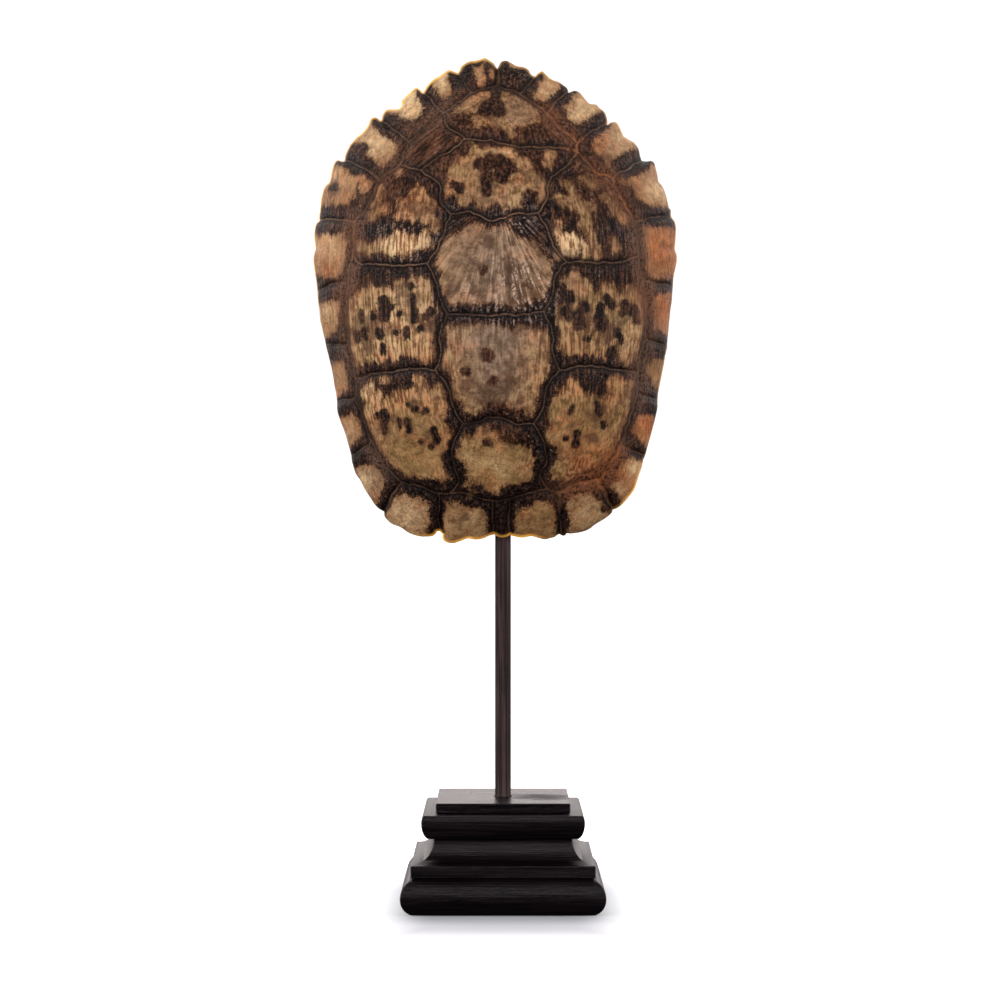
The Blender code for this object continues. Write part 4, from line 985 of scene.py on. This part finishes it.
def periodic_curve(table, angle):
    """A smooth value by angle, through a table of angles in degrees."""
    angles = np.array(list(table), float)
    values = np.array(list(table.values()), float)
    xs = np.concatenate([angles - 360, angles, angles + 360])
    ys = np.tile(values, 3)
    slopes = np.zeros_like(ys)
    slopes[1:-1] = (ys[2:] - ys[:-2]) / (xs[2:] - xs[:-2])
    i = np.clip(np.searchsorted(xs, angle) - 1, 0, len(xs) - 2)
    span = xs[i + 1] - xs[i]
    t = (angle - xs[i]) / span
    return hermite(t, span, ys[i], ys[i + 1], slopes[i], slopes[i + 1])


def bearing(points):
    """Each point's distance from the middle, its angle, and how far out the notched edge is at that angle."""
    angle = np.degrees(np.arctan2(points[:, 1], points[:, 0])) % 360
    notched = np.interp(angle, EDGE_ANGLES, EDGE_REACHES, period=360)
    return np.hypot(points[:, 0], points[:, 1]), angle, notched


def ease(share):
    """0 to 1, with a slow start and end."""
    return share * share * (3 - 2 * share)


def polar_share(points):
    """Share of the way from the middle to the notched edge, and how far towards neck or tail it lies."""
    reach, angle, notched = bearing(points)
    smooth = periodic_curve(EDGE_RADIUS, angle)
    blend = ease(np.clip((reach / smooth - NOTCH_START) / NOTCH_SPAN, 0, 1))
    share = reach / (smooth + (notched - smooth) * blend)
    return share, ease((points[:, 1] / np.maximum(reach, 1e-6)) ** 2)


def dome_depth(share, endward, top, edge_thick=0.0):
    """Depth of a dome that rises from the edge to its top, steeper at the sides than at the ends."""
    squareness = 2.3 + 0.1 * endward
    steepness = 0.60 + 0.22 * endward
    blunt = 0.985

    def profile(q):
        return np.maximum(1 - (blunt * np.minimum(q, 1)) ** squareness, 0) ** steepness

    rise = (profile(share) - profile(1.0)) / (1 - profile(1.0))
    edge = EDGE_SIDE + (EDGE_END - EDGE_SIDE) * endward * np.minimum(share, 1) ** 2 + edge_thick
    return edge + (top - edge) * rise


def on_shell(points):
    """Which points lie within the notched edge."""
    reach, _, notched = bearing(points)
    return reach < notched


def outer_dome(points):
    """Depth of the horn's smooth dome."""
    share, endward = polar_share(points)
    return dome_depth(share, endward, EDGE_SIDE - DOME_HEIGHT)


def inner_dome(points, relief=True):
    """Depth of the hollow's roof, with its spine and ribs or without."""
    share, endward = polar_share(points)
    depth = dome_depth(share / LIP, endward, EDGE_SIDE - DOME_HEIGHT + WALL, EDGE_THICK)
    if not relief:
        return depth
    spine = SPINE_HEIGHT * np.exp(-(gap_to(points, [SPINE]) / SPINE_WIDTH) ** 2)
    ribs = RIB_HEIGHT * np.exp(-(gap_to(points, rib_lines(0)) / RIB_WIDTH) ** 2)
    return depth + np.maximum(spine, ribs)


def rib_lines(shift):
    """Pairs of ribs, fanned a little towards neck and tail; shifted by half a pitch, the joints between."""
    lines = []
    for number in range(RIB_COUNT):
        root = FIRST_RIB + number * RIB_PITCH + shift
        start = FIRST_RIB_START if number == 0 else RIB_START
        for side in (-1, 1):
            us = np.arange(start, RIB_END, RIB_STEP)
            line = np.column_stack([side * us, root + RIB_FAN * root * (us / RIB_FAN_SPAN) ** 2])
            line = line[polar_share(line)[0] < RIB_REACH]
            if len(line) > 1:
                lines.append(line)
    return lines


def rough(points, across, along, seed):
    """Smooth noise about 0, stretched to the given sizes in millimetres."""
    return np.array([noise.noise((u / across, v / along, seed * SEED_SHIFT)) for u, v in points])


def wandering(line):
    """The same line, grown a little unevenly."""
    return [(u + WANDER * noise.noise((u / WANDER_PITCH, v / WANDER_PITCH, 3.3)),
             v + WANDER * noise.noise((u / WANDER_PITCH, v / WANDER_PITCH, 8.8))) for u, v in line]


OUTLINE = []
corner = NECK_CORNER
for edge in SCUTE_EDGES:
    OUTLINE += smooth_curve([corner] + edge)[:-1]
    corner = edge[-1]
CLOSED_OUTLINE = OUTLINE + OUTLINE[:1]
edge_angles = np.degrees(np.arctan2([v for u, v in OUTLINE], [u for u, v in OUTLINE])) % 360
edge_order = np.argsort(edge_angles)
EDGE_ANGLES = edge_angles[edge_order]
EDGE_REACHES = np.hypot([u for u, v in OUTLINE], [v for u, v in OUTLINE])[edge_order]
ALL_SEAMS = [RING_SEAM + RING_SEAM[:1]] + INNER_SEAMS + MARGINAL_SEAMS
SEAMS = [wandering(smooth_curve(seam)) for seam in ALL_SEAMS]
SPINE = smooth_curve([(0, SPINE_BOTTOM), (0, SPINE_TOP)], SPINE_STEP)


def stroke_gap(points, stroke):
    """Distance to the edge of a stroke whose width changes along it, negative inside."""
    found = np.full(len(points), np.inf)
    for (ua, va, ra), (ub, vb, rb) in zip(stroke, stroke[1:] or stroke):
        start = np.array([ua, va])
        run = np.array([ub, vb]) - start
        t = np.clip(((points - start) @ run) / max(run @ run, 1e-9), 0, 1)
        gap = points - start - t[:, None] * run
        found = np.minimum(found, np.hypot(gap[:, 0], gap[:, 1]) - (ra + t * (rb - ra)))
    return found


def blotches(points):
    """How far each point lies inside the light pattern, in millimetres, negative in the dark ground."""
    found = np.full(len(points), -PATTERN_REACH)
    for patch in LIGHT_PATCHES:
        patch = np.array(patch, float)
        at_edge = polar_share(patch)[0] > MEETS_EDGE
        patch[at_edge] *= PAST_EDGE
        low = np.min(patch, axis=0) - PATTERN_REACH
        high = np.max(patch, axis=0) + PATTERN_REACH
        near = np.flatnonzero(np.all((points > low) & (points < high), axis=1))
        gap = gap_to(points[near], [np.vstack([patch, patch[:1]])])
        found[near] = np.maximum(found[near], np.where(inside(points[near], patch), gap, -gap))
    for fleck in LIGHT_FLECKS:
        found = np.maximum(found, -stroke_gap(points, fleck))
    return np.clip(found, -PATTERN_REACH, PATTERN_REACH)


def spotted(points):
    """How far each point lies inside the nearest dark spot, in millimetres, negative outside."""
    found = np.full(len(points), -PATTERN_REACH)
    for spot in DARK_SPOTS:
        found = np.maximum(found, -stroke_gap(points, spot))
    return found


def clouds(points, spots):
    """Strength of a tone at each point, from its soft clouds."""
    found = np.zeros(len(points))
    for u, v, radius, strength in spots:
        found += strength * np.exp(-((points[:, 0] - u) ** 2 + (points[:, 1] - v) ** 2) / radius**2)
    return np.clip(found, 0, 1)


def fibre_places(points, depth):
    """Where the fibres' noise is read: they run up the shell, but fan out over V3 and slant over C4."""
    places = np.column_stack([points[:, 0], depth, points[:, 1]])
    fanned = inside(points, MIDDLE_SCUTE)
    arm = points[fanned] - FAN_APEX
    places[fanned, 0] = np.arctan2(arm[:, 0], -arm[:, 1]) * FAN_RADIUS
    places[fanned, 2] = np.hypot(arm[:, 0], arm[:, 1])
    slanted = inside(points, SLANTED_SCUTE)
    turn = math.radians(SLANT)
    u, v = points[slanted].T
    places[slanted, 0] = u * math.sin(turn) - v * math.cos(turn)
    places[slanted, 2] = u * math.cos(turn) + v * math.sin(turn)
    return places


def beside(lines, offset):
    """Points on either side of each line, at a fixed offset from it."""
    found = []
    for line in lines:
        line = np.asarray(line, float)
        run = np.gradient(line, axis=0)
        run /= np.linalg.norm(run, axis=1)[:, None]
        across = np.column_stack([-run[:, 1], run[:, 0]])
        found += [line + offset * across, line - offset * across]
    return np.vstack(found)


def grid(step):
    """Points of a triangular grid over the whole shell."""
    rows = np.arange(-HALF_LENGTH, HALF_LENGTH + 1, step * math.sqrt(0.75))
    places = np.arange(-HALF_WIDTH, HALF_WIDTH + 1, step)
    return np.vstack([np.column_stack([places + (step / 2 if number % 2 else 0), np.full(len(places), v)])
                      for number, v in enumerate(rows)])


def spread(points, apart):
    """One point for each small square of the plane, so that none lie much closer than its side."""
    _, first = np.unique(np.round(points / apart), axis=0, return_index=True)
    return points[np.sort(first)]


def triangulate(loose):
    """Triangles over the shell's outline that pass every loose point."""
    count = len(OUTLINE)
    edges = [(i, (i + 1) % count) for i in range(count)]
    coords = OUTLINE + [tuple(point) for point in loose]
    verts, _, faces, *_ = delaunay_2d_cdt([Vector(p) for p in coords], edges, [], 0, WELD, False)
    verts = np.array([tuple(v) for v in verts])
    faces = np.array([tuple(f) for f in faces])
    return verts, faces[on_shell(verts[faces].mean(axis=1))]


def outer_sheet():
    """The horn in plan, with close rows of points along every seam."""
    rows = np.vstack([beside(SEAMS, offset) for offset in SEAM_ROWS])
    rows = rows[gap_to(rows, SEAMS) > ROW_CLEARANCE]
    field = grid(FIELD_STEP)
    field = field[gap_to(field, SEAMS) > FIELD_CLEARANCE]
    loose = spread(np.vstack([np.vstack(SEAMS), rows, field]), APART)
    loose = loose[on_shell(loose)]
    return triangulate(loose[gap_to(loose, [CLOSED_OUTLINE]) > EDGE_CLEARANCE])


def inner_sheet():
    """The bone side in plan: rings follow the lip of the hollow."""
    outline = np.array(OUTLINE)
    share, _ = polar_share(outline)
    rings = [(outline * ((LIP + offset) / share)[:, None])[::2] for offset in LIP_RINGS]
    field = grid(INSIDE_STEP)
    field = field[on_shell(field)]
    field = field[gap_to(field, rings + [CLOSED_OUTLINE]) > INSIDE_CLEARANCE]
    return triangulate(np.vstack(rings + [field]))


def outward(points, dome):
    """Unit normals of a dome, towards the viewer."""
    nudge = 0.05
    slope_u = (dome(points + [nudge, 0]) - dome(points - [nudge, 0])) / (2 * nudge)
    slope_v = (dome(points + [0, nudge]) - dome(points - [0, nudge])) / (2 * nudge)
    normals = np.column_stack([slope_u, -np.ones(len(points)), slope_v])
    return normals / np.linalg.norm(normals, axis=1)[:, None]


def horn_relief(points, seam_gap, share):
    """Height of the horn over its smooth dome, in millimetres."""
    height = -SINK * np.ones(len(points))
    height -= GROOVE_DEPTH * np.exp(-(seam_gap / GROOVE_WIDTH) ** 2)
    height += WELT_HEIGHT * np.exp(-(seam_gap / WELT_WIDTH) ** 2)
    height += SWELL_HEIGHT * (1 - np.exp(-seam_gap / SWELL_WIDTH)) - SWELL_DROP
    rings = np.sin(seam_gap * 2 * math.pi / GROWTH_PITCH)
    height += GROWTH_HEIGHT * rings * np.exp(-((seam_gap - GROWTH_MIDDLE) / GROWTH_WIDTH) ** 2)
    for seed, (rise, across, along) in enumerate(UNEVENNESS, 1):
        height += rise * rough(points, across, along, seed)
    fade = np.clip((1 - share) / EDGE_FADE, EDGE_RELIEF, 1)
    return np.minimum(height * fade, -LEAST_SINK)


def carapace_mesh():
    """The closed shell: horn in front, bone behind, and a narrow rim between them at the notched edge."""
    outer, outer_faces = outer_sheet()
    inner, inner_faces = inner_sheet()
    share, _ = polar_share(outer)
    seam_gap = gap_to(outer, SEAMS)
    front = np.column_stack([outer[:, 0] + SHELL_X, outer_dome(outer), outer[:, 1] + SHELL_Z])
    facing = outward(outer, outer_dome)
    front += facing * horn_relief(outer, seam_gap, share)[:, None]
    back = np.column_stack([inner[:, 0] + SHELL_X, inner_dome(inner), inner[:, 1] + SHELL_Z])
    first_back = len(front)

    behind = {(round(u, 2), round(v, 2)): first_back + i for i, (u, v) in enumerate(inner)}
    used = {(a, b) for f in outer_faces.tolist() for a, b in zip(f, f[1:] + f[:1])}
    rim = []
    for a, b in sorted(used):
        if (b, a) not in used:
            far_a = behind[round(outer[a][0], 2), round(outer[a][1], 2)]
            far_b = behind[round(outer[b][0], 2), round(outer[b][1], 2)]
            rim.append((b, a, far_a, far_b))

    faces = outer_faces.tolist() + rim + (inner_faces[:, ::-1] + first_back).tolist()
    mesh = bpy.data.meshes.new("carapace_horn")
    mesh.from_pydata((np.vstack([front, back]) * MM).tolist(), [], faces)
    bone_from = len(outer_faces) + len(rim)
    mesh.polygons.foreach_set("material_index", (np.arange(len(faces)) >= bone_from).astype(np.int32))

    both = np.vstack([outer, inner])
    along_horn = gap_to(outer, [CLOSED_OUTLINE]) / np.maximum(-facing[:, 1], LEAST_FACING)
    edge_gap = np.concatenate([along_horn, gap_to(inner, [CLOSED_OUTLINE])])
    fields = {
        "seam": np.concatenate([seam_gap, gap_to(inner, SEAMS)]),
        "edge": np.minimum(edge_gap, RIM_REACH),
        "light": np.concatenate([blotches(outer), blotches(inner)]),
        "spot": np.concatenate([spotted(outer), np.full(len(inner), -PATTERN_REACH)]),
        "hollow": polar_share(both)[0] / LIP,
        "joint": np.concatenate([np.full(len(outer), GAP_REACH), gap_to(inner, rib_lines(RIB_PITCH / 2))]),
        "ring": np.concatenate([gap_to(outer, SEAMS[:1]), np.full(len(inner), GAP_REACH)]),
        "seam_glow": clouds(both, SEAM_GLOW),
        "seam_pale": clouds(both, SEAM_PALE),
        "painted_rim_glow": clouds(both, PAINTED_RIM_GLOW),
        "margin": np.where(inside(both, RING_SEAM), 0, np.minimum(gap_to(both, SEAMS[:1]) / MARGIN_START, 1)),
    }
    fields.update({name: clouds(both, spots) for name, spots in TONES.items()})
    for name, values in fields.items():
        mesh.attributes.new(name, "FLOAT", "POINT").data.foreach_set("value", values.astype(np.float32))
    fibres = fibre_places(both, np.concatenate([front[:, 1], back[:, 1]]))
    fibre = mesh.attributes.new("fibre", "FLOAT_VECTOR", "POINT")
    fibre.data.foreach_set("vector", fibres.astype(np.float32).ravel())
    return mesh


def mesh_field(start, name):
    """A value kept on the mesh's points."""
    return start.node("Attribute", {"attribute_name": name}, None, "Fac")


# Shades of the light horn, (in its hollows, on its crests), in the order in which they lie over each other:
# the horn's own fibre tones, with painted shade in the hollows and painted highlight on the crests of the
# relief.
LIGHT_HORN = {
    "plain": ((104, 70, 46), (196, 150, 106)),
    "yellow": ((106, 72, 40), (186, 146, 92)),
    "pink": ((88, 68, 54), (170, 139, 116)),
    "rust": ((108, 48, 24), (214, 130, 76)),
    "cream_and_highlight": ((150, 102, 66), (255, 220, 168)),
    "olive": ((96, 70, 36), (178, 148, 96)),
    "flush": ((122, 60, 34), (218, 142, 94)),
}


def horn(start):
    """Satin horn: brown-black, with ragged light patches in several tones, dark spots and raised seams,
    painted glints and painted seam shade, and a painted glow at the free edge.
    """
    place = start.node("TexCoord", output="Object")
    fibre = start.node("Attribute", {"attribute_name": "fibre"}, None, "Vector")
    tone = {name: mesh_field(start, name) for name in TONES}
    seam = mesh_field(start, "seam")
    ring = mesh_field(start, "ring")
    margin = mesh_field(start, "margin")

    # Grain: the first three follow the fibres, by the millimetre, and the rest lie anyhow, by the metre.
    ridges = fibre.times((0.80, 0.80, 0.07)).grain(1.0, 2.0, 0.55, 0.2)
    teeth = fibre.times((0.42, 0.42, 0.05)).grain(1.0, 3.0, 0.6, 0.2)
    ragged = fibre.times((0.24, 0.24, 0.16)).grain(1.0, 4.0, 0.6, 0.4)
    broad = place.grain(80, 3.0, 0.55)
    tint = place.grain(95, 3.0, 0.6, 0.5)
    blots = place.grain(150, 3.0, 0.6, 0.4)
    mottle = place.grain(230, 4.0, 0.65, 0.3)
    wrinkles = place.grain(760, 3.0, 0.62, 0.3)
    fine = place.grain(1500, 2.0, 0.6)

    # How far a point reaches into a light patch, whose ends are combed out along the fibres.
    comb = (teeth - 0.5) * (3.0 + tone["ridged"] * 7.0) + (ridges - 0.5) * 2.0
    reach = mesh_field(start, "light") + 0.9 + (ragged - 0.5) * 6.0 + comb + (fine - 0.5) * 3.5
    lit = reach.step(-0.9, 0.7) * (1 - tone["faint"] * 0.55)
    stained = 1 - reach.step(0.0, 2.4)
    halo = reach.step(-2.8, -0.4)

    # Light horn: from hollow to crest in each tone, darker in the relief's hollows as painted shade, stained
    # brown at the outlines and in places.
    lines = ridges.step(0.38, 0.62) * (0.35 + tone["ridged"] * 0.45) + mottle.step(0.34, 0.66) * 0.45
    crest = (lines + fine * 0.5 - 0.25 - tone["ridged"] * 0.15).step(0.0, 0.9)
    smooth = (tone["smooth"] + margin * 0.7).lower(1.0) * 0.7
    even = 0.5 + margin * 0.12 + tone["cream_and_highlight"] * 0.18
    even = even + (broad - 0.5) * 2.0 + (blots - 0.5) * 1.6 + (wrinkles - 0.5) * 2.0 + (fine - 0.5) * 1.2
    crest = crest * (1 - smooth) + even * smooth
    olive = (1 - tint.step(0.38, 0.48)) * (0.45 - tone["pink"] * 0.37 - margin * 0.35)
    flush = tint.step(0.50, 0.62) * ridges.step(0.35, 0.62)
    flush = flush * (0.55 - tone["pink"] * 0.40) + margin * 0.08
    shares = dict(tone, olive=olive, flush=flush)
    shades = {name: crest.blend(rgb(*low), rgb(*high)) for name, (low, high) in LIGHT_HORN.items()}
    pale = shades.pop("plain")
    for name, shade in shades.items():
        pale = shares[name].blend(pale, shade)
    pale = (stained * 0.40).blend(pale, rgb(92, 54, 34))
    brown = tone["stain"] * 0.9 + margin * 0.10
    brown = brown + (blots - 0.5) * 2.4 + (ridges - 0.5) * 0.5 + (fine - 0.5) * 0.6
    pale = (brown.step(0.22, 0.70) * 0.7).blend(pale, rgb(72, 47, 34))

    # Dark ground: streaked brown-black, its streaks darkest in the hollows of the relief as painted shade over
    # the horn's own fibre streaks, warmer by the ring seam and round the patches, and with pale flecks that
    # are painted glints.
    streaks = (ridges * 0.5 + wrinkles * 0.5).step(0.46, 0.62)
    dark = streaks.blend(rgb(4, 2, 2), rgb(66, 43, 34))
    dark = (blots.step(0.50, 0.60) * 0.75).blend(dark, streaks.blend(rgb(26, 10, 5), rgb(112, 66, 40)))
    warm = tone["russet"] + (1 - ring.step(1.0, 8.0)) * broad.step(0.4, 0.6) * 0.5
    grown = (ridges * 0.75 + wrinkles * 0.25).step(0.38, 0.66)
    dark = warm.blend(dark, grown.blend(rgb(34, 19, 13), rgb(112, 71, 49)))
    dark = (tone["slate"] * 0.8).blend(dark, streaks.blend(rgb(8, 5, 7), rgb(96, 80, 78)))
    dark = (halo * (0.35 + mottle.step(0.40, 0.62) * 0.45)).blend(dark, rgb(68, 37, 22))
    dark = (tone["black"] * 0.85).blend(dark, streaks.blend(rgb(4, 2, 2), rgb(48, 30, 24)))
    # painted highlights: pale flecks that stand for glints on the dark horn
    painted_glint_flecks = (fine * 0.6 + ridges * 0.4).step(0.58, 0.63) * mottle.step(0.40, 0.56)
    dark = (painted_glint_flecks * 0.7).blend(dark, rgb(158, 122, 100))

    # The two together, with spots in the light horn and painted highlights as glints along its ridges.
    colour = lit.blend(dark, pale)
    spot = mesh_field(start, "spot") + 0.5 + (ragged - 0.5) * 4.5 + (wrinkles - 0.5) * 3.5 + comb * 0.45
    soft_spot = (tone["pink"] + tone["russet"]).lower(1.0)
    spot_colour = streaks.blend(rgb(12, 7, 6), rgb(88, 55, 39))
    spot_colour = soft_spot.blend(spot_colour, streaks.blend(rgb(52, 31, 22), rgb(106, 70, 50)))
    colour = spot.step(-0.8, 0.6).blend(colour, spot_colour)
    # painted highlight: pale glints along the ridges
    painted_glint = ridges.step(0.50, 0.64) * wrinkles.step(0.44, 0.58) * tone["painted_glint"]
    colour = (painted_glint * 0.6).blend(colour, rgb(240, 208, 184))

    # Seams: growth rings beside a black groove, whose black is the seam's dark horn and painted shade in the
    # groove, pale painted glints on the growth rings, fibres across the ring seam, and a welt worn pale or
    # rusty.
    growth = (seam * 3.4).maths("SINE") * (1 - seam.step(4.0, 8.0))
    # painted shade: the seam groove painted near black, over the seam's dark horn
    painted_groove_shade = (1 - seam.step(0.7, 2.6)) * (0.45 + mottle * 0.8)
    colour = painted_groove_shade.blend(colour, rgb(8, 5, 5))
    # painted highlights: pale glints on the crests of the growth rings in the dark horn
    painted_ring_glints = growth.step(0.2, 0.9) * wrinkles.step(0.42, 0.6) * (1 - lit) * seam.step(0.9, 1.6)
    colour = (painted_ring_glints * 0.35).blend(colour, rgb(112, 92, 86))
    weave = (ring * 2.6 + blots * 12.0).maths("SINE")
    by_ring = tone["fibrous"] * (1 - ring.step(4.0, 8.0))
    colour = ((weave * -1).step(0.1, 0.8) * by_ring * (1 - lit) * 0.75).blend(colour, rgb(16, 9, 7))
    strands = weave.step(0.1, 0.8) * by_ring * wrinkles.step(0.36, 0.52)
    glow = mesh_field(start, "seam_glow")
    colour = (strands * 0.85).blend(colour, glow.blend(rgb(136, 100, 80), rgb(164, 98, 60)))
    welt = 1 - (seam + (wrinkles - 0.5) * 1.8).step(0.10, 0.55)
    wide_welt = (1 - (seam + (ragged - 0.5) * 2.6 + (wrinkles - 0.5) * 2.4).step(0.1, 1.1)) * glow
    strength = broad.step(0.35, 0.65) * 0.25 + mesh_field(start, "seam_pale") * 0.35 + 0.08
    line = (welt * strength * wrinkles.step(0.28, 0.52)).higher(wide_welt * mottle.step(0.36, 0.54) * 0.8)
    rusty = fine.step(0.3, 0.7).blend(rgb(134, 74, 44), rgb(196, 122, 80))
    colour = line.blend(colour, glow.blend(rgb(162, 122, 98), rusty))

    # The free edge: a painted glow, in emission and a yellow base colour, where light comes through the thin
    # horn.
    edge = mesh_field(start, "edge") + (broad - 0.5) * 1.5
    rim = (1 - edge.step(0.3, 2.8)) * mesh_field(start, "painted_rim_glow")
    colour = (rim * 0.9).blend(colour, rgb(255, 206, 104))

    height = ridges * 0.6 + wrinkles * 0.5 + fine * 0.2 + growth * 0.14 + mottle * 0.5
    return {
        "Base Color": colour,
        "Roughness": 0.30 + fine * 0.25,
        "Specular IOR Level": 0.09,
        "Emission Color": rim.blend((0, 0, 0, 1), rgb(176, 112, 34)),
        "Emission Strength": 1.0,
        "Normal": height.bump(HORN_DEPTH),
    }


def bone(start):
    """Dry bone of the hollow, and the paler horn of the marginal scutes' undersides."""
    place = start.node("TexCoord", output="Object")
    hollow = mesh_field(start, "hollow")
    pores = place.grain(900, 4.0, 0.7)
    stains = place.grain(45, 4.0, 0.6, 0.6)
    growth = place.times((300, 300, 60)).grain(1.0, 3.0, 0.6)
    wall = stains.step(0.3, 0.75).blend(rgb(206, 184, 146), rgb(160, 124, 84))
    wall = (pores.step(0.5, 0.8) * 0.4).blend(wall, rgb(112, 82, 56))
    joint = mesh_field(start, "joint") + (place.grain(420, 2.0) - 0.5) * 1.4
    wall = (joint.near(1.7) * 0.55).blend(wall, rgb(104, 74, 52))
    under = growth.step(0.3, 0.7).blend(rgb(196, 150, 92), rgb(222, 184, 128))
    spots = (mesh_field(start, "light") * -1 + (growth - 0.5) * 4).step(0.6, 1.6)
    under = (spots * 0.75).blend(under, rgb(62, 42, 32))
    under = (mesh_field(start, "seam").near(0.7) * 0.8).blend(under, rgb(48, 32, 26))
    colour = hollow.step(0.985, 1.0).blend(wall, under)
    height = pores * 0.6 + growth * 0.4
    return {"Base Color": colour, "Roughness": 0.48 + pores * 0.2, "Normal": height.bump(BONE_DEPTH)}


carapace = carapace_mesh()
shell = new_piece("carapace_horn", carapace, surface("horn", horn), "carapace")
carapace.materials.append(surface("bone", bone))
smooth_faces(shell, ROUND_ANGLE)


# ---- block ------------------------------------------------------------------------------------------
# A small softwood block in the hollow. Its front is shaped to the shell's roof and glued there, it is drilled
# from below for the head of the rod, and it is painted with the base's black.
BLOCK_WIDTH = 30.0
BLOCK_BOTTOM = 214.0
BLOCK_TOP = 244.0
BLOCK_BACK = 10.0
BLOCK_CLEARANCE = 0.8
BLOCK_CUTS = 11
BLOCK_ARRIS = 0.8


def block_mesh():
    """A box whose front follows the roof of the hollow, with a blind hole in its underside."""
    build = bmesh.new()
    bmesh.ops.create_cube(build, size=1)
    bmesh.ops.subdivide_edges(build, edges=build.edges[:], cuts=BLOCK_CUTS, use_grid_fill=True)
    under = [face for face in build.faces if face.normal.z < -0.9]
    for vert in build.verts:
        x = vert.co.x * BLOCK_WIDTH
        z = (BLOCK_BOTTOM + BLOCK_TOP) / 2 + vert.co.z * (BLOCK_TOP - BLOCK_BOTTOM)
        roof = inner_dome(np.array([[x - SHELL_X, z - SHELL_Z]]), relief=False)[0] + BLOCK_CLEARANCE
        y = roof + (BLOCK_BACK - roof) * (vert.co.y + 0.5)
        vert.co = Vector((x, y, z)) * MM
    bmesh.ops.delete(build, geom=under, context="FACES")
    mouth, end = (circle(build, ROD_DIAMETER / 2 + GAP, height, HOLE_SIDES)
                  for height in (BLOCK_BOTTOM, ROD_HEAD + GAP))
    join_rings(build, mouth, end)
    build.faces.new(list(reversed(end)))
    rims = [edge for edge in build.edges if edge.is_boundary]
    bmesh.ops.triangle_fill(build, edges=rims, use_beauty=True, normal=(0, 0, -1))
    return finished_mesh("mounting_block_painted", build)


block_paint = surface("black_paint_block", black_paint, framed=False)
block = new_piece("mounting_block_painted", block_mesh(), block_paint, "mounting_block")
sand(block, BLOCK_ARRIS)


# ---- floor, lights and camera -------------------------------------------------------------------------
# A white sweep, lit from both sides and from the front by large soft boxes. The camera stands level, 1.24 m
# in front of the rod, with a longish lens.
FLOOR_SIZE = 60.0
FLOOR_DROP = 0.0004
SHADOW_SIDE = 0.035
SHADOW_FRONT = 0.085
DARK_GREY = (0.03, 0.03, 0.03, 1)


def white_floor(start):
    """White, with a short soft painted shadow round the foot, in a darker base colour and less emission, that
    fades to the backdrop's white.
    """
    seen = start.node("LightPath", output="Is Camera Ray")
    place = start.node("TexCoord", output="Object")
    across = place.along("X").size() - FOOT_BULGE / 2 * MM
    forward = place.along("Y").size() - FOOT_BULGE / 2 * MM
    # the painted shadow: less emission and a darker, bluer white near the foot
    at_side = across.step(-0.5 * SHADOW_SIDE, 0.9 * SHADOW_SIDE)
    in_front = forward.step(0.3 * SHADOW_FRONT, 1.1 * SHADOW_FRONT)
    away = at_side.higher(in_front)
    near = across.higher(forward).step(0.0, 0.3 * SHADOW_FRONT)
    white = near.blend((0.60, 0.61, 0.66, 1), (0.80, 0.81, 0.86, 1))
    return {
        "Base Color": seen.blend(DARK_GREY, white),
        "Roughness": 0.9,
        "Specular IOR Level": 0.0,
        "Emission Color": seen.blend((0, 0, 0, 1), away.blend((0.06, 0.06, 0.06, 1), (1, 1, 1, 1))),
        "Emission Strength": 1.0,
    }


bpy.ops.mesh.primitive_plane_add(size=FLOOR_SIZE, location=(0, 0, -FLOOR_DROP))
floor = bpy.context.object
floor.name = "floor"
floor.data.materials.append(surface("white_floor", white_floor))


def soft_box(name, place, aim, size, watts):
    """A square area light that faces a point."""
    light = bpy.data.lights.new(name, "AREA")
    light.shape = "RECTANGLE"
    light.size, light.size_y = size
    light.energy = watts
    box = bpy.data.objects.new(name, light)
    box.location = place
    box.rotation_euler = (Vector(aim) - Vector(place)).to_track_quat("-Z", "Y").to_euler()
    bpy.context.scene.collection.objects.link(box)


AIM = (0, 0, 0.28)
soft_box("left_box", (-1.5, -1.1, 0.45), AIM, (0.7, 1.0), 30)
soft_box("right_box", (1.5, -1.1, 0.45), AIM, (0.7, 1.0), 23)
soft_box("front_box", (0, -1.7, 1.25), AIM, (1.5, 0.6), 9)

BACKDROP_WHITE = (1.1, 1.1, 1.1, 1)
GLOW_BEHIND = (1.32, 1.22, 1.20, 1)

world = bpy.data.worlds.new("studio")
bpy.context.scene.world = world
world.use_nodes = True
sky = Field(world.node_tree)
seen = sky.node("LightPath", output="Is Camera Ray")
direction = sky.node("TexCoord", output="Generated")
behind = direction.along("Y").step(-0.25, 0.55)
glow = behind.blend(DARK_GREY, GLOW_BEHIND)
backdrop = world.node_tree.nodes["Background"]
world.node_tree.links.new(seen.blend(glow, BACKDROP_WHITE).socket, backdrop.inputs["Color"])

LENS = 88.45
SENSOR = 36.0
LENS_SHIFT = 0.010
CAMERA_PLACE = (-0.0015, -1.238, 0.197)
camera_data = bpy.data.cameras.new("camera")
camera_data.lens = LENS
camera_data.sensor_width = SENSOR
camera_data.shift_y = LENS_SHIFT
camera = bpy.data.objects.new("camera", camera_data)
camera.location = CAMERA_PLACE
camera.rotation_euler = (math.radians(90), 0, 0)
bpy.context.scene.collection.objects.link(camera)
bpy.context.scene.camera = camera
bpy.context.scene.view_settings.view_transform = "Standard"
